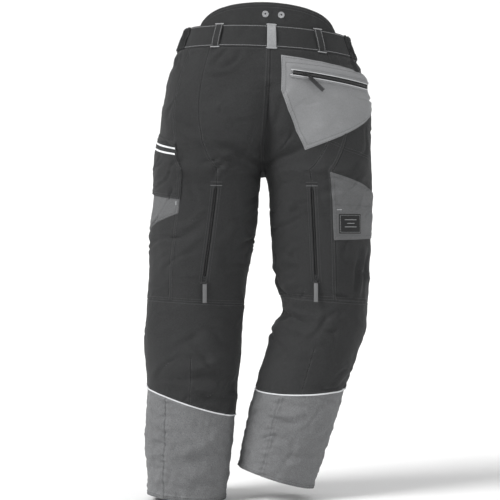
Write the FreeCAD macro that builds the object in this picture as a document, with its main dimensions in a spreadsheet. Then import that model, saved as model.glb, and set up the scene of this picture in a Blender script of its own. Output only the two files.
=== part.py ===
"""Protective trousers for chainsaw work, with a raised back, vent zips and cargo pockets.

Frame: millimetres, +Z up, +Y to the wearer's front, +X to the wearer's right.
The origin is the middle of the waist opening, level with the waistband's top edge.

The cloth follows one surface for each side, called the skin. A point on it has two values:
u runs round the leg (0 inseam or centre front, 0.25 front, 0.5 outside, 0.75 back, 1 inseam
or centre back), and level is the height of that ring at its inner edge. A third value, the
offset, is the distance outwards from the skin. Every sewn piece is a sheet between two offsets.
"""
import FreeCAD, Part
import math
import os
import Sketcher
from FreeCAD import Placement, Rotation, Vector

RIGHT = 1
LEFT = -1

doc = FreeCAD.newDocument("ProtectiveTrousers")

# ---------------------------------------------------------------- driving dimensions

SIZES = {
    # cloth and its layers
    "cloth_thick": 2.5,
    "patch_thick": 2.0,
    "bag_thick": 2.4,
    "flap_gap": 4.4,
    "band_rise": 0.8,
    "pad_thick": 6.0,
    "pad_gap": 1.0,
    "layer_gap": 0.3,
    "seam_gap": 0.4,
    # levels
    "waistband_top": 8.0,
    "waistband_bottom": -44.0,
    "crotch_level": -318.0,
    "join_level": -150.0,
    "back_rise": 61.0,
    "yoke_reach": 0.318,
    # the knee zone of each leg, at the inseam
    "right_knee_top": -611.0,
    "right_knee_bottom": -700.0,
    "left_knee_top": -630.0,
    "left_knee_bottom": -755.0,
    # the cuff's top edge at the inseam and at the outside, its sag at front and back, and the hem
    "right_cuff_inner": -828.0,
    "right_cuff_outer": -768.0,
    "right_cuff_sag": 10.0,
    "right_hem": -1008.0,
    "left_cuff_inner": -888.0,
    "left_cuff_outer": -835.0,
    "left_cuff_sag": 5.0,
    "left_hem": -1085.0,
    # seams that run down the legs
    "front_seam": 0.44,
    "right_side_seam": 0.712,
    "left_side_seam": 0.66,
    "vent_seam": 0.777,
    "calf_seam": 0.75,
    "right_cuff_seam": 0.82,
    "left_cuff_seam": 0.66,
    # belt loops
    "loop_width": 20.0,
    "loop_tall": 55.0,
    "loop_stand_off": 10.0,
    "loop_thick": 1.6,
    "loop_foot": 6.0,
    "loop_gap": 3.3,
    "loop_ramp": 5.0,
    # press studs for braces
    "stud_flange_radius": 7.5,
    "stud_flange_thick": 1.0,
    "stud_post_radius": 4.0,
    "stud_post_top": 4.2,
    "stud_recess_radius": 2.0,
    "stud_recess_floor": 2.0,
    # waist button
    "button_radius": 8.5,
    "button_edge": 3.2,
    "button_shank_radius": 3.0,
    "button_shank_top": 2.0,
    "button_face": 4.6,
    # zips
    "tape_half_width": 11.0,
    "tape_thick": 0.8,
    "coil_half_width": 2.5,
    "coil_top": 2.2,
    "slider_half_width": 4.25,
    "slider_half_length": 5.5,
    "slider_clearance": 0.35,
    "slider_skin": 1.0,
    "arch_half_width": 0.8,
    "arch_half_length": 3.5,
    "arch_bar": 0.8,
    "arch_rise": 7.3,
    "pull_axis_rise": 5.2,
    "pull_half_width": 4.2,
    "pull_eye_half_width": 3.0,
    "pull_bar_half": 0.8,
    "pull_eye_end": 5.4,
    "pull_neck": 8.0,
    "pull_neck_half_width": 2.2,
    "pull_tab_end": 16.0,
    "pull_thick": 1.2,
    "grip_half_width": 4.6,
    "grip_start": 12.0,
    "grip_end": 55.0,
    "grip_thick": 2.4,
    "vent_top": -362.0,
    "right_vent_bottom": -570.0,
    "left_vent_bottom": -580.0,
    "vent_slot": 12.0,
    "vent_sink": -4.9,
    "vent_slot_depth": 30.0,
    "vent_slot_floor": 8.0,
    "fly_top": -50.0,
    "fly_bottom": -186.0,
    "fly_sink": -15.6,
    "hip_zip_offset": 7.0,
    "hip_tape_half_width": 6.5,
    "hip_pull_turn": 145.0,
}

MEASURES = ("inner", "level", "width", "lean", "middle", "depth", "pitch")

# One row for each ring of a side: the inner edge's x, its level, the ring's width, its lean to
# the right in degrees, the y of its middle, its half depth, and its pitch to the front in degrees.
RINGS = {
    "right": {
        "crown": (6.0, 66.0, 190.0, 3.0, 0.0, 118.0, 3.0),
        "waist": (6.0, 8.0, 184.0, 3.0, 0.0, 122.0, 3.0),
        "band": (6.0, -44.0, 201.0, 3.0, -1.0, 127.0, 2.6),
        "belly": (5.0, -100.0, 226.0, 2.5, -3.0, 135.0, 2.0),
        "hip": (0.0, -180.0, 242.0, 1.5, -7.0, 136.0, 0.5),
        "seat": (-5.0, -250.0, 248.5, 0.5, -7.0, 130.0, 0.0),
        "crotch": (-10.0, -318.0, 255.0, 0.5, -4.0, 121.0, 0.0),
        "thigh": (-2.0, -352.0, 246.0, 0.0, 0.0, 117.0, 0.0),
        "mid_thigh": (9.0, -465.0, 235.0, 0.0, 8.0, 108.0, 0.0),
        "low_thigh": (21.0, -578.0, 221.0, 2.0, 16.0, 100.0, 0.0),
        "knee": (38.0, -645.0, 198.0, 8.5, 20.0, 98.0, 0.0),
        "below_knee": (15.0, -681.0, 208.0, 16.0, 20.0, 98.0, 0.0),
        "calf": (-6.0, -757.0, 203.0, 16.3, 18.0, 98.0, 0.0),
        "low_calf": (-40.5, -869.0, 204.0, 16.6, 12.0, 95.0, 0.0),
        "ankle": (-55.0, -946.0, 191.0, 17.0, 8.0, 91.0, 0.0),
        "hem": (-68.0, -1008.0, 182.0, 17.0, 5.0, 88.0, 0.0),
    },
    "left": {
        "crown": (6.0, 66.0, 190.0, 3.0, 0.0, 118.0, 3.0),
        "waist": (6.0, 8.0, 196.0, 3.0, 0.0, 122.0, 3.0),
        "band": (6.0, -44.0, 214.0, 3.0, -1.0, 127.0, 2.6),
        "belly": (5.0, -100.0, 235.0, 2.5, -3.0, 135.0, 2.0),
        "hip": (0.0, -180.0, 246.0, 1.5, -7.0, 136.0, 0.5),
        "seat": (-5.0, -250.0, 248.0, 0.5, -7.0, 130.0, 0.0),
        "crotch": (-10.0, -318.0, 252.0, 0.5, -4.0, 121.0, 0.0),
        "thigh": (-12.0, -352.0, 251.0, 0.5, 0.0, 117.0, 0.0),
        "mid_thigh": (-28.0, -465.0, 245.0, 2.0, 4.0, 108.0, 0.0),
        "low_thigh": (-49.0, -578.0, 231.0, 3.0, 8.0, 102.0, 0.0),
        "knee": (-54.0, -650.0, 230.0, 3.0, 10.0, 100.0, 0.0),
        "calf": (-61.0, -747.0, 228.0, 3.0, 6.0, 100.0, 0.0),
        "low_calf": (-70.0, -822.0, 214.0, 3.5, 2.0, 97.0, 0.0),
        "shank": (-75.0, -898.0, 209.0, 4.0, -2.0, 95.0, 0.0),
        "ankle": (-85.0, -973.0, 199.0, 4.0, -6.0, 91.0, 0.0),
        "hem": (-96.0, -1085.0, 184.0, 4.3, -10.0, 88.0, 0.0),
    },
}


def fill_sheet():
    """Write every driving dimension into the spreadsheet, each under its alias."""
    values = dict(SIZES)
    for side_name, rings in RINGS.items():
        for ring_name, ring in rings.items():
            for measure, value in zip(MEASURES, ring):
                values[f"{side_name}_{ring_name}_{measure}"] = value
    for row, (alias, value) in enumerate(values.items(), start=1):
        sheet.set(f"A{row}", alias.replace("_", " "))
        sheet.set(f"B{row}", str(value))
        sheet.setAlias(f"B{row}", alias)


sheet = doc.addObject("Spreadsheet::Sheet", "Sizes")
fill_sheet()
doc.recompute()


def size(alias):
    """One driving dimension, as the sheet holds it."""
    return float(sheet.get(alias))


def side_size(side, name):
    """A dimension that differs between the two legs."""
    return size(f"{side_word(side)}_{name}")


def side_word(side):
    return "right" if side == RIGHT else "left"


# ---------------------------------------------------------------- the skin

def read_rings(side):
    """The rings of one side from the hem up, as rows of measures."""
    word = side_word(side)
    rows = []
    for ring_name in RINGS[word]:
        rows.append([size(f"{word}_{ring_name}_{measure}") for measure in MEASURES])
    rows.sort(key=lambda row: row[1])
    return rows


def slopes(rows, column):
    """Slope of one measure against the level at each ring, for a smooth curve through them."""
    result = []
    last = len(rows) - 1
    for index in range(len(rows)):
        low = rows[max(index - 1, 0)]
        high = rows[min(index + 1, last)]
        result.append((high[column] - low[column]) / (high[1] - low[1]))
    return result


RING_ROWS = {side: read_rings(side) for side in (RIGHT, LEFT)}
RING_SLOPES = {
    side: [slopes(RING_ROWS[side], column) for column in range(len(MEASURES))]
    for side in (RIGHT, LEFT)
}


def ring_at(side, level):
    """The ring's measures at any level, by cubic curves between the stated rings."""
    rows = RING_ROWS[side]
    index = 0
    while index < len(rows) - 2 and level > rows[index + 1][1]:
        index += 1
    low = rows[index]
    high = rows[index + 1]
    span = high[1] - low[1]
    share = min(max((level - low[1]) / span, 0.0), 1.0)
    measures = []
    for column in range(len(MEASURES)):
        low_slope = RING_SLOPES[side][column][index] * span
        high_slope = RING_SLOPES[side][column][index + 1] * span
        measures.append(
            (2 * share ** 3 - 3 * share ** 2 + 1) * low[column]
            + (share ** 3 - 2 * share ** 2 + share) * low_slope
            + (3 * share ** 2 - 2 * share ** 3) * high[column]
            + (share ** 3 - share ** 2) * high_slope
        )
    return measures


def join_share(level):
    """0 where the legs are apart, 1 where both sides form one body, a round curve between."""
    crotch = size("crotch_level")
    share = (level - crotch) / (size("join_level") - crotch)
    share = min(max(share, 0.0), 1.0)
    return (1 - (1 - share) ** 2) ** 0.75


def skin_point(side, u, level):
    """The point of the skin at u and level."""
    inner, _, width, lean, middle, depth, pitch = ring_at(side, level)
    join = join_share(level)
    across = (1 - join) * width / 2 * (1 - math.cos(2 * math.pi * u))
    across += join * width * math.sin(math.pi * u)
    fore = (1 - join) * depth * math.sin(2 * math.pi * u)
    fore += join * depth * math.cos(math.pi * u)
    drop = math.sin(math.radians(lean)) * side * across
    drop += math.sin(math.radians(pitch)) * (fore + depth)
    return Vector(
        inner + side * across * math.cos(math.radians(lean)),
        middle + fore,
        level - drop,
    )


def skin_normal(side, u, level):
    """The skin's unit normal, pointing away from the wearer."""
    u_step = 0.002
    level_step = 1.0
    round_way = skin_point(side, u + u_step, level) - skin_point(side, u - u_step, level)
    up_way = skin_point(side, u, level + level_step) - skin_point(side, u, level - level_step)
    return (round_way.cross(up_way) * -side).normalize()


def skin(side, u, level, offset=0.0):
    """A point at some distance outwards from the skin."""
    return skin_point(side, u, level) + skin_normal(side, u, level) * offset


def back_skin(reach, level, offset=0.0):
    """The skin counted from centre back: reach is above 0 on the right and below 0 on the left."""
    side = RIGHT if reach >= 0 else LEFT
    return skin(side, 1 - abs(reach), level, offset)


# ---------------------------------------------------------------- sheets of cloth

def even_spline(points):
    """A curve through points, whose parameter runs evenly over them from 0 to 1."""
    last = len(points) - 1
    curve = Part.BSplineCurve()
    curve.interpolate(Points=points, Parameters=[index / last for index in range(last + 1)])
    return curve


def spline_rule(count):
    """The degree, multiplicities and knots that every even spline through count points has."""
    curve = even_spline([Vector(index, 0, 0) for index in range(count)])
    return curve.Degree, curve.getMultiplicities(), curve.getKnots()


STRAIGHT_RULE = (1, [2, 2], [0.0, 1.0])


def surface_poles(grid):
    """Poles of the smooth surface through a grid of points."""
    columns = [even_spline(column).getPoles() for column in grid]
    rows = [even_spline(list(row)).getPoles() for row in zip(*columns)]
    return [list(column) for column in zip(*rows)]


def spline_face(poles, first_rule, second_rule):
    """The face with these poles, which run along the first rule and then the second."""
    surface = Part.BSplineSurface()
    surface.buildFromPolesMultsKnots(
        poles, first_rule[1], second_rule[1], first_rule[2], second_rule[2],
        False, False, first_rule[0], second_rule[0],
    )
    return surface.toShape()


def closed_sheet(place, outer, inner, columns, rows):
    """A closed solid between two offsets of a surface; place(a, b, offset) gives its points."""
    def poles_at(offset):
        grid = []
        for column in range(columns + 1):
            a = column / columns
            grid.append([place(a, row / rows, offset) for row in range(rows + 1)])
        return surface_poles(grid)

    outside = poles_at(outer)
    inside = poles_at(inner)
    column_rule = spline_rule(columns + 1)
    row_rule = spline_rule(rows + 1)
    faces = [
        spline_face(outside, column_rule, row_rule),
        spline_face(inside, column_rule, row_rule),
    ]
    for end in (0, -1):
        across = [outside[end], inside[end]]
        faces.append(spline_face(across, STRAIGHT_RULE, row_rule))
        lengthwise = [[column[end] for column in outside], [column[end] for column in inside]]
        faces.append(spline_face(lengthwise, STRAIGHT_RULE, column_rule))
    shell = Part.makeShell(faces)
    shell.sewShape()
    solid = Part.makeSolid(shell)
    if solid.Volume < 0:
        solid.reverse()
    return solid


def along(points, share):
    """A place on a line of points, with share running evenly from the first to the last."""
    place = share * (len(points) - 1)
    index = min(int(place), len(points) - 2)
    rest = place - index
    low = points[index]
    high = points[index + 1]
    return tuple(low[k] + (high[k] - low[k]) * rest for k in range(2))


def ruled_sheet(side, first_edge, second_edge, outer, inner, columns=8, rows=8):
    """A sheet between two edges, each a line of (u, level) points from its lower end up."""
    def place(a, b, offset):
        first = along(first_edge, b)
        second = along(second_edge, b)
        u = first[0] + (second[0] - first[0]) * a
        level = first[1] + (second[1] - first[1]) * a
        return skin(side, u, level, offset)

    return closed_sheet(place, outer, inner, columns, rows)


def panel_sheet(side, u_range, bottom, top, outer, inner, columns=8, rows=12):
    """A panel between two lengthwise seams; bottom and top give the level of its ends at any u."""
    def place(a, b, offset):
        u = u_range[0] + (u_range[1] - u_range[0]) * a
        low = bottom(u)
        return skin(side, u, low + (top(u) - low) * b, offset)

    return closed_sheet(place, outer, inner, columns, rows)


def add_sheet(label, solid):
    """Put a cloth solid into the document under its own label."""
    feature = doc.addObject("Part::Feature", label)
    feature.Shape = solid
    feature.Label = label
    kept.append(feature)
    return feature


kept = []
CLOTH = size("cloth_thick")
PATCH = size("patch_thick")
GAP = size("layer_gap")
SEAM = size("seam_gap")
CENTRE = 0.001      # share of u left free at the inseam and the centre seams
SEAM_SHARE = 0.0004  # share of u left free on each side of a lengthwise seam


def level_at(value):
    """An edge that keeps one level all round."""
    return lambda u: value


def cuff_edge(side):
    """The level of the seam between leg and cuff, which rises to the outside."""
    inner = side_size(side, "cuff_inner")
    outer = side_size(side, "cuff_outer")
    sag = side_size(side, "cuff_sag")

    def level(u):
        rise = (1 - math.cos(2 * math.pi * u)) / 2
        return inner + (outer - inner) * rise - sag * abs(math.sin(2 * math.pi * u))

    return level


def shifted(edge, amount):
    return lambda u: edge(u) + amount


# ---------------------------------------------------------------- legs

def make_upper_leg(side):
    """The thigh and seat panels of one side, from the waistband down to the knee seam."""
    word = side_word(side)
    top = level_at(size("waistband_bottom") - SEAM)
    bottom = level_at(side_size(side, "knee_top") + SEAM)
    front_seam = size("front_seam")
    side_seam = side_size(side, "side_seam")
    vent_seam = size("vent_seam")
    panels = {
        "front_panel": (CENTRE, front_seam - SEAM_SHARE),
        "side_panel": (front_seam + SEAM_SHARE, side_seam - SEAM_SHARE),
        "back_outer_panel": (side_seam + SEAM_SHARE, vent_seam - SEAM_SHARE),
        "back_inner_panel": (vent_seam + SEAM_SHARE, 1 - CENTRE),
    }
    for name, u_range in panels.items():
        columns = 14 if u_range[1] - u_range[0] > 0.2 else 7
        solid = panel_sheet(side, u_range, bottom, top, 0, -CLOTH, columns, 48)
        if name.startswith("back"):
            cut_vent(f"{word}_{name}", solid, side)
        else:
            add_sheet(f"{word}_{name}", solid)
    pad_outer = -CLOTH - size("pad_gap")
    pad = panel_sheet(
        side, (0.05, 0.60), level_at(side_size(side, "knee_top") + 16), level_at(-200),
        pad_outer, pad_outer - size("pad_thick"), 16, 36,
    )
    add_sheet(f"{word}_thigh_pad", pad)


def make_lower_leg(side):
    """The knee zone, the shin and calf panels, the cuff and its piping."""
    word = side_word(side)
    knee_top = level_at(side_size(side, "knee_top") - SEAM)
    knee_low = level_at(side_size(side, "knee_bottom") + SEAM)
    shin_top = level_at(side_size(side, "knee_bottom") - SEAM)
    edge = cuff_edge(side)
    hem = level_at(side_size(side, "hem"))
    half = size("front_seam")
    calf = size("calf_seam")
    cuff = side_size(side, "cuff_seam")
    pieces = {
        "knee_front": ((CENTRE, half - SEAM_SHARE), knee_low, knee_top),
        "knee_back": ((half + SEAM_SHARE, 1 - CENTRE), knee_low, knee_top),
        "shin_panel": ((CENTRE, half - SEAM_SHARE), shifted(edge, SEAM), shin_top),
        "calf_outer_panel": ((half + SEAM_SHARE, calf - SEAM_SHARE), shifted(edge, SEAM), shin_top),
        "calf_inner_panel": ((calf + SEAM_SHARE, 1 - CENTRE), shifted(edge, SEAM), shin_top),
        "cuff_front": ((CENTRE, cuff - SEAM_SHARE), hem, shifted(edge, -SEAM)),
        "cuff_back": ((cuff + SEAM_SHARE, 1 - CENTRE), hem, shifted(edge, -SEAM)),
    }
    for name, (u_range, bottom, top) in pieces.items():
        columns = 12 if u_range[1] - u_range[0] > 0.4 else 7
        solid = panel_sheet(side, u_range, bottom, top, 0, -CLOTH, columns, 8)
        add_sheet(f"{word}_{name}", solid)
    piping = panel_sheet(
        side, (CENTRE, 1 - CENTRE), shifted(edge, -2), shifted(edge, 2), GAP + 2.2, GAP, 24, 2,
    )
    add_sheet(f"{word}_cuff_piping", piping)
    pad_outer = -CLOTH - size("pad_gap")
    shin_pad = panel_sheet(
        side, (0.06, 0.44), level_at(side_size(side, "hem") + 45),
        level_at(side_size(side, "knee_bottom") - 18),
        pad_outer, pad_outer - size("pad_thick"), 8, 8,
    )
    add_sheet(f"{word}_shin_pad", shin_pad)


# ---------------------------------------------------------------- local frames

def frame_placement(origin, across, outward):
    """A placement whose Y points outwards and whose X is as near as can be to across."""
    out = Vector(outward).normalize()
    along_zip = Vector(across).cross(out).normalize()
    true_across = out.cross(along_zip).normalize()
    turn = Rotation(true_across, out, along_zip, "ZXY")
    return Placement(origin, turn)


def skin_placement(side, u, level, offset, up=None):
    """A frame on the skin: Y outwards, Z up the skin or along up."""
    origin = skin(side, u, level, offset)
    out = skin_normal(side, u, level)
    way = up or Vector(0, 0, 1)
    return frame_placement(origin, out.cross(way), out)


def back_placement(reach, level, offset):
    side = RIGHT if reach >= 0 else LEFT
    return skin_placement(side, 1 - abs(reach), level, offset)


# ---------------------------------------------------------------- sketches and bodies

def origin_plane(body, role):
    return [feature for feature in body.Origin.OriginFeatures if feature.Role == role][0]


def value_of(expression):
    """The number that an expression over the sheet gives, for the sketch's first drawing."""
    return float(sheet.evalExpression(expression.replace("Sizes.", "")))


def loop_sketch(body, name, role, loops):
    """A sketch of closed outlines whose corners are bound to expressions over the sheet."""
    sketch = body.newObject("Sketcher::SketchObject", name)
    sketch.AttachmentSupport = [(origin_plane(body, role), "")]
    sketch.MapMode = "FlatFace"
    first = 0
    for corners in loops:
        values = [(value_of(x), value_of(y)) for x, y in corners]
        count = len(corners)
        for index in range(count):
            start = values[index]
            end = values[(index + 1) % count]
            line = Part.LineSegment(Vector(*start, 0), Vector(*end, 0))
            sketch.addGeometry(line, False)
        for index in range(count):
            following = first + (index + 1) % count
            sketch.addConstraint(Sketcher.Constraint("Coincident", first + index, 2, following, 1))
        for index, expressions in enumerate(corners):
            for kind, expression, value in zip("XY", expressions, values[index]):
                rule = Sketcher.Constraint(f"Distance{kind}", -1, 1, first + index, 1, value)
                number = sketch.addConstraint(rule)
                label = f"{kind}{first + index}"
                sketch.renameConstraint(number, label)
                sketch.setExpression(f"Constraints.{label}", expression)
        first += count
    return sketch


def new_body(name):
    return doc.addObject("PartDesign::Body", name)


def add_pad(body, name, role, loops, length):
    """Pad a sketch evenly to both sides of its plane."""
    sketch = loop_sketch(body, f"{name}Outline", role, loops)
    pad = body.newObject("PartDesign::Pad", name)
    pad.Profile = sketch
    pad.SideType = "Symmetric"
    pad.setExpression("Length", length)
    return pad


def box_loop(half_x, low, high):
    """The outline of a box that is even about the vertical axis."""
    return [(f"-{half_x}", low), (half_x, low), (half_x, high), (f"-{half_x}", high)]


def finish_body(body, label, placement):
    body.Label = label
    body.Placement = placement
    kept.append(body)
    return body


def group_of(label, body, placements):
    """Several equal pieces in one node, each a copy of the body."""
    doc.recompute()
    copies = []
    for placement in placements:
        copy = body.Shape.copy()
        copy.Placement = placement.multiply(copy.Placement)
        copies.append(copy)
    return add_sheet(label, Part.makeCompound(copies))


# ---------------------------------------------------------------- zips

COIL_CLEAR = "(Sizes.coil_half_width + Sizes.slider_clearance)"
SLIDER_FLOOR = "Sizes.slider_clearance"
SLIDER_ROOF = "(Sizes.coil_top + Sizes.slider_clearance)"
SLIDER_TOP = "(Sizes.coil_top + Sizes.slider_clearance + Sizes.slider_skin)"


def tape_loop(half_width="Sizes.tape_half_width"):
    """Section of a closed zip: the tape's outer face is at 0 and the coil stands on it."""
    return [
        (f"-{half_width}", "-Sizes.tape_thick"),
        (half_width, "-Sizes.tape_thick"),
        (half_width, "0"),
        ("Sizes.coil_half_width", "0"),
        ("Sizes.coil_half_width", "Sizes.coil_top"),
        ("-Sizes.coil_half_width", "Sizes.coil_top"),
        ("-Sizes.coil_half_width", "0"),
        (f"-{half_width}", "0"),
    ]


def slider_loop():
    """Section of a slider, an inverted channel that runs over the coil."""
    return [
        ("-Sizes.slider_half_width", SLIDER_FLOOR),
        (f"-{COIL_CLEAR}", SLIDER_FLOOR),
        (f"-{COIL_CLEAR}", SLIDER_ROOF),
        (COIL_CLEAR, SLIDER_ROOF),
        (COIL_CLEAR, SLIDER_FLOOR),
        ("Sizes.slider_half_width", SLIDER_FLOOR),
        ("Sizes.slider_half_width", SLIDER_TOP),
        ("-Sizes.slider_half_width", SLIDER_TOP),
    ]


def arch_loop():
    """Side view of the slider's bridge, which holds the pull's bar: y outwards, z along."""
    foot = f"({SLIDER_TOP} - 0.2)"
    under = f"({SLIDER_TOP} + Sizes.arch_rise - Sizes.arch_bar)"
    over = f"({SLIDER_TOP} + Sizes.arch_rise)"
    inside = "(Sizes.arch_half_length - Sizes.arch_bar)"
    return [
        (foot, "-Sizes.arch_half_length"),
        (over, "-Sizes.arch_half_length"),
        (over, "Sizes.arch_half_length"),
        (foot, "Sizes.arch_half_length"),
        (foot, inside),
        (under, inside),
        (under, f"-{inside}"),
        (foot, f"-{inside}"),
    ]


def pull_loops():
    """Front view of the metal pull, with its bar on the hinge axis at 0, and its eye."""
    outline = [
        ("-Sizes.pull_half_width", "Sizes.pull_bar_half"),
        ("Sizes.pull_half_width", "Sizes.pull_bar_half"),
        ("Sizes.pull_half_width", "-Sizes.pull_eye_end"),
        ("Sizes.pull_neck_half_width", "-Sizes.pull_neck"),
        ("Sizes.pull_neck_half_width", "-Sizes.pull_tab_end"),
        ("-Sizes.pull_neck_half_width", "-Sizes.pull_tab_end"),
        ("-Sizes.pull_neck_half_width", "-Sizes.pull_neck"),
        ("-Sizes.pull_half_width", "-Sizes.pull_eye_end"),
    ]
    eye = box_loop("Sizes.pull_eye_half_width", "-Sizes.pull_eye_end", "-Sizes.pull_bar_half")
    return [outline, eye]


def make_slider(label, placement):
    """A slider at the middle of its own frame, with the coil under it."""
    body = new_body(f"{label}_body")
    add_pad(body, "Channel", "XY_Plane", [slider_loop()], "2 * Sizes.slider_half_length")
    add_pad(body, "Bridge", "YZ_Plane", [arch_loop()], "2 * Sizes.arch_half_width")
    return finish_body(body, label, placement)


def make_pull(label, placement, turn):
    """A pull that hangs from the slider's bridge, turned about its bar and about the normal."""
    body = new_body(f"{label}_body")
    add_pad(body, "Tab", "XZ_Plane", pull_loops(), "Sizes.pull_thick")
    grip = box_loop("Sizes.grip_half_width", "-Sizes.grip_end", "-Sizes.grip_start")
    add_pad(body, "Grip", "XZ_Plane", [grip], "Sizes.grip_thick")
    bar_rise = value_of(SLIDER_TOP) + size("pull_axis_rise")
    bar = placement.multVec(Vector(0, bar_rise, 0))
    return finish_body(body, label, Placement(bar, turn))


def make_straight_zip(label, placement, length):
    """A straight zip whose lower end is at the frame's origin, which runs up along Z."""
    body = new_body(f"{label}_body")
    sketch = loop_sketch(body, "Section", "XY_Plane", [tape_loop()])
    pad = body.newObject("PartDesign::Pad", "Tape")
    pad.Profile = sketch
    pad.Length = length
    return finish_body(body, label, placement)


def vent_frame(side):
    """The vent zip's line: its lower and upper ends, and the frame at the lower end."""
    seam = size("vent_seam")
    sink = size("vent_sink")
    bottom = skin(side, seam, side_size(side, "vent_bottom"), sink)
    top = skin(side, seam, size("vent_top"), sink)
    out = skin_normal(side, seam, (size("vent_top") + side_size(side, "vent_bottom")) / 2)
    up = (top - bottom).normalize()
    return bottom, top, frame_placement(bottom, out.cross(up), out - up * out.dot(up))


def cut_vent(label, solid, side):
    """Open the slot of the vent zip in a back panel."""
    bottom, top, frame = vent_frame(side)
    panel = doc.addObject("Part::Feature", f"{label}_uncut")
    panel.Shape = solid
    slot = doc.addObject("Part::Box", f"{label}_slot")
    slot.setExpression("Length", "Sizes.vent_slot")
    slot.setExpression("Width", "Sizes.vent_slot_depth")
    slot.Height = (top - bottom).Length
    corner = Vector(-size("vent_slot") / 2, -size("vent_slot_floor"), 0)
    slot.Placement = frame.multiply(Placement(corner, Rotation()))
    cut = doc.addObject("Part::Cut", label)
    cut.Base = panel
    cut.Tool = slot
    cut.Label = label
    kept.append(cut)


def hanging_turn(frame):
    """A turn whose Z is straight up and whose X is level, across the zip."""
    across = frame.Rotation.multVec(Vector(1, 0, 0))
    level_across = Vector(across.x, across.y, 0).normalize()
    up = Vector(0, 0, 1)
    return Rotation(level_across, up.cross(level_across), up, "ZXY")


def make_vent(side):
    """One vent zip with its slider at the lower end and its pull hanging down."""
    word = side_word(side)
    bottom, top, frame = vent_frame(side)
    overlap = 8.0
    length = (top - bottom).Length + 2 * overlap
    start = frame.multiply(Placement(Vector(0, 0, -overlap), Rotation()))
    make_straight_zip(f"{word}_vent_zip", start, length)
    slider_height = size("slider_half_length") + 1.0
    slider_frame = frame.multiply(Placement(Vector(0, 0, slider_height), Rotation()))
    make_slider(f"{word}_vent_slider", slider_frame)
    make_pull(f"{word}_vent_pull", slider_frame, hanging_turn(frame))


def make_fly():
    """The fly: a zip behind a placket at the centre front, closed at the top."""
    sink = size("fly_sink")
    reach = 0.0015
    bottom = skin(LEFT, reach, size("fly_bottom"), sink)
    top = skin(LEFT, reach, size("fly_top"), sink)
    out = Vector(0, 1, 0)
    up = (top - bottom).normalize()
    frame = frame_placement(bottom, out.cross(up), out - up * out.dot(up))
    length = (top - bottom).Length
    make_straight_zip("fly_zip", frame, length)
    slider_height = length - size("slider_half_length") - 4.0
    slider_frame = frame.multiply(Placement(Vector(0, 0, slider_height), Rotation()))
    make_slider("fly_slider", slider_frame)
    make_pull("fly_pull", slider_frame, hanging_turn(slider_frame))
    placket_edge = [(0.075, -150.0), (0.078, -105.0), (0.08, size("waistband_bottom") - SEAM)]
    centre_edge = [(0.004, -196.0), (0.003, -120.0), (0.003, size("waistband_bottom") - SEAM)]
    placket = ruled_sheet(LEFT, centre_edge, placket_edge, GAP + PATCH, GAP, 5, 8)
    add_sheet("fly_placket", placket)


# ---------------------------------------------------------------- waist

def make_waistband():
    """The waistband in five lengths: the back, an elastic at each side, and the two fronts."""
    low = size("waistband_bottom")
    high = size("waistband_top")
    outer = size("band_rise")
    back_end = 0.38
    elastic_end = 0.545

    def back(a, b, offset):
        return back_skin(back_end * (2 * a - 1), low + (high - low) * b, offset)

    add_sheet("waistband_back", closed_sheet(back, outer, -CLOTH, 16, 3))
    elastics = []
    for side in (RIGHT, LEFT):
        gap = SEAM_SHARE * 2
        u_range = (1 - elastic_end + gap, 1 - back_end - gap)
        elastics.append(
            panel_sheet(side, u_range, level_at(low), level_at(high), outer, -CLOTH, 6, 3))
        front_range = (CENTRE, 1 - elastic_end - gap)
        front = panel_sheet(side, front_range, level_at(low), level_at(high), outer, -CLOTH, 10, 3)
        add_sheet(f"{side_word(side)}_waistband_front", front)
    add_sheet("waist_elastics", Part.makeCompound(elastics))


def make_yoke():
    """The raised back that covers the kidneys, sewn behind the waistband."""
    low = size("waistband_bottom") + 14
    foot = size("waistband_top") - 8
    reach_end = size("yoke_reach")
    roundness = 2.0

    def place(a, b, offset):
        reach = reach_end * (2 * a - 1)
        height = (1 - abs(2 * a - 1) ** roundness) ** (1 / roundness)
        top = foot + size("back_rise") * height
        return back_skin(reach, low + (top - low) * b, offset)

    outer = -CLOTH - GAP
    add_sheet("kidney_yoke", closed_sheet(place, outer, outer - CLOTH, 24, 6))


def loop_outline():
    """Side view of a belt loop: y outwards from the waistband, z up."""
    out = "Sizes.loop_stand_off"
    inner = "(Sizes.loop_stand_off - Sizes.loop_thick)"
    thick = "Sizes.loop_thick"
    foot = "Sizes.loop_foot"
    ramp = "(Sizes.loop_foot + Sizes.loop_ramp)"
    tall = "Sizes.loop_tall"
    return [
        ("0", "0"),
        (thick, "0"),
        (thick, foot),
        (out, ramp),
        (out, f"{tall} - {ramp}"),
        (thick, f"{tall} - {foot}"),
        (thick, tall),
        ("0", tall),
        ("0", f"{tall} - {foot}"),
        (inner, f"{tall} - {ramp}"),
        (inner, ramp),
        ("0", foot),
    ]


def loop_body(name):
    body = new_body(name)
    add_pad(body, "Strap", "YZ_Plane", [loop_outline()], "Sizes.loop_width")
    return body


def make_belt_loops():
    """One loop at the centre back, and three on each side."""
    offset = size("band_rise") + size("loop_gap")
    low = size("waistband_bottom") - 1.5
    centre = loop_body("centre_belt_loop_body")
    finish_body(centre, "centre_belt_loop", back_placement(0.005, low, offset))
    master = loop_body("side_belt_loop_body")
    places = []
    for side in (RIGHT, LEFT):
        for u in (0.80, 0.50, 0.21):
            places.append(skin_placement(side, u, low, offset))
    group_of("side_belt_loops", master, places)


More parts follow.
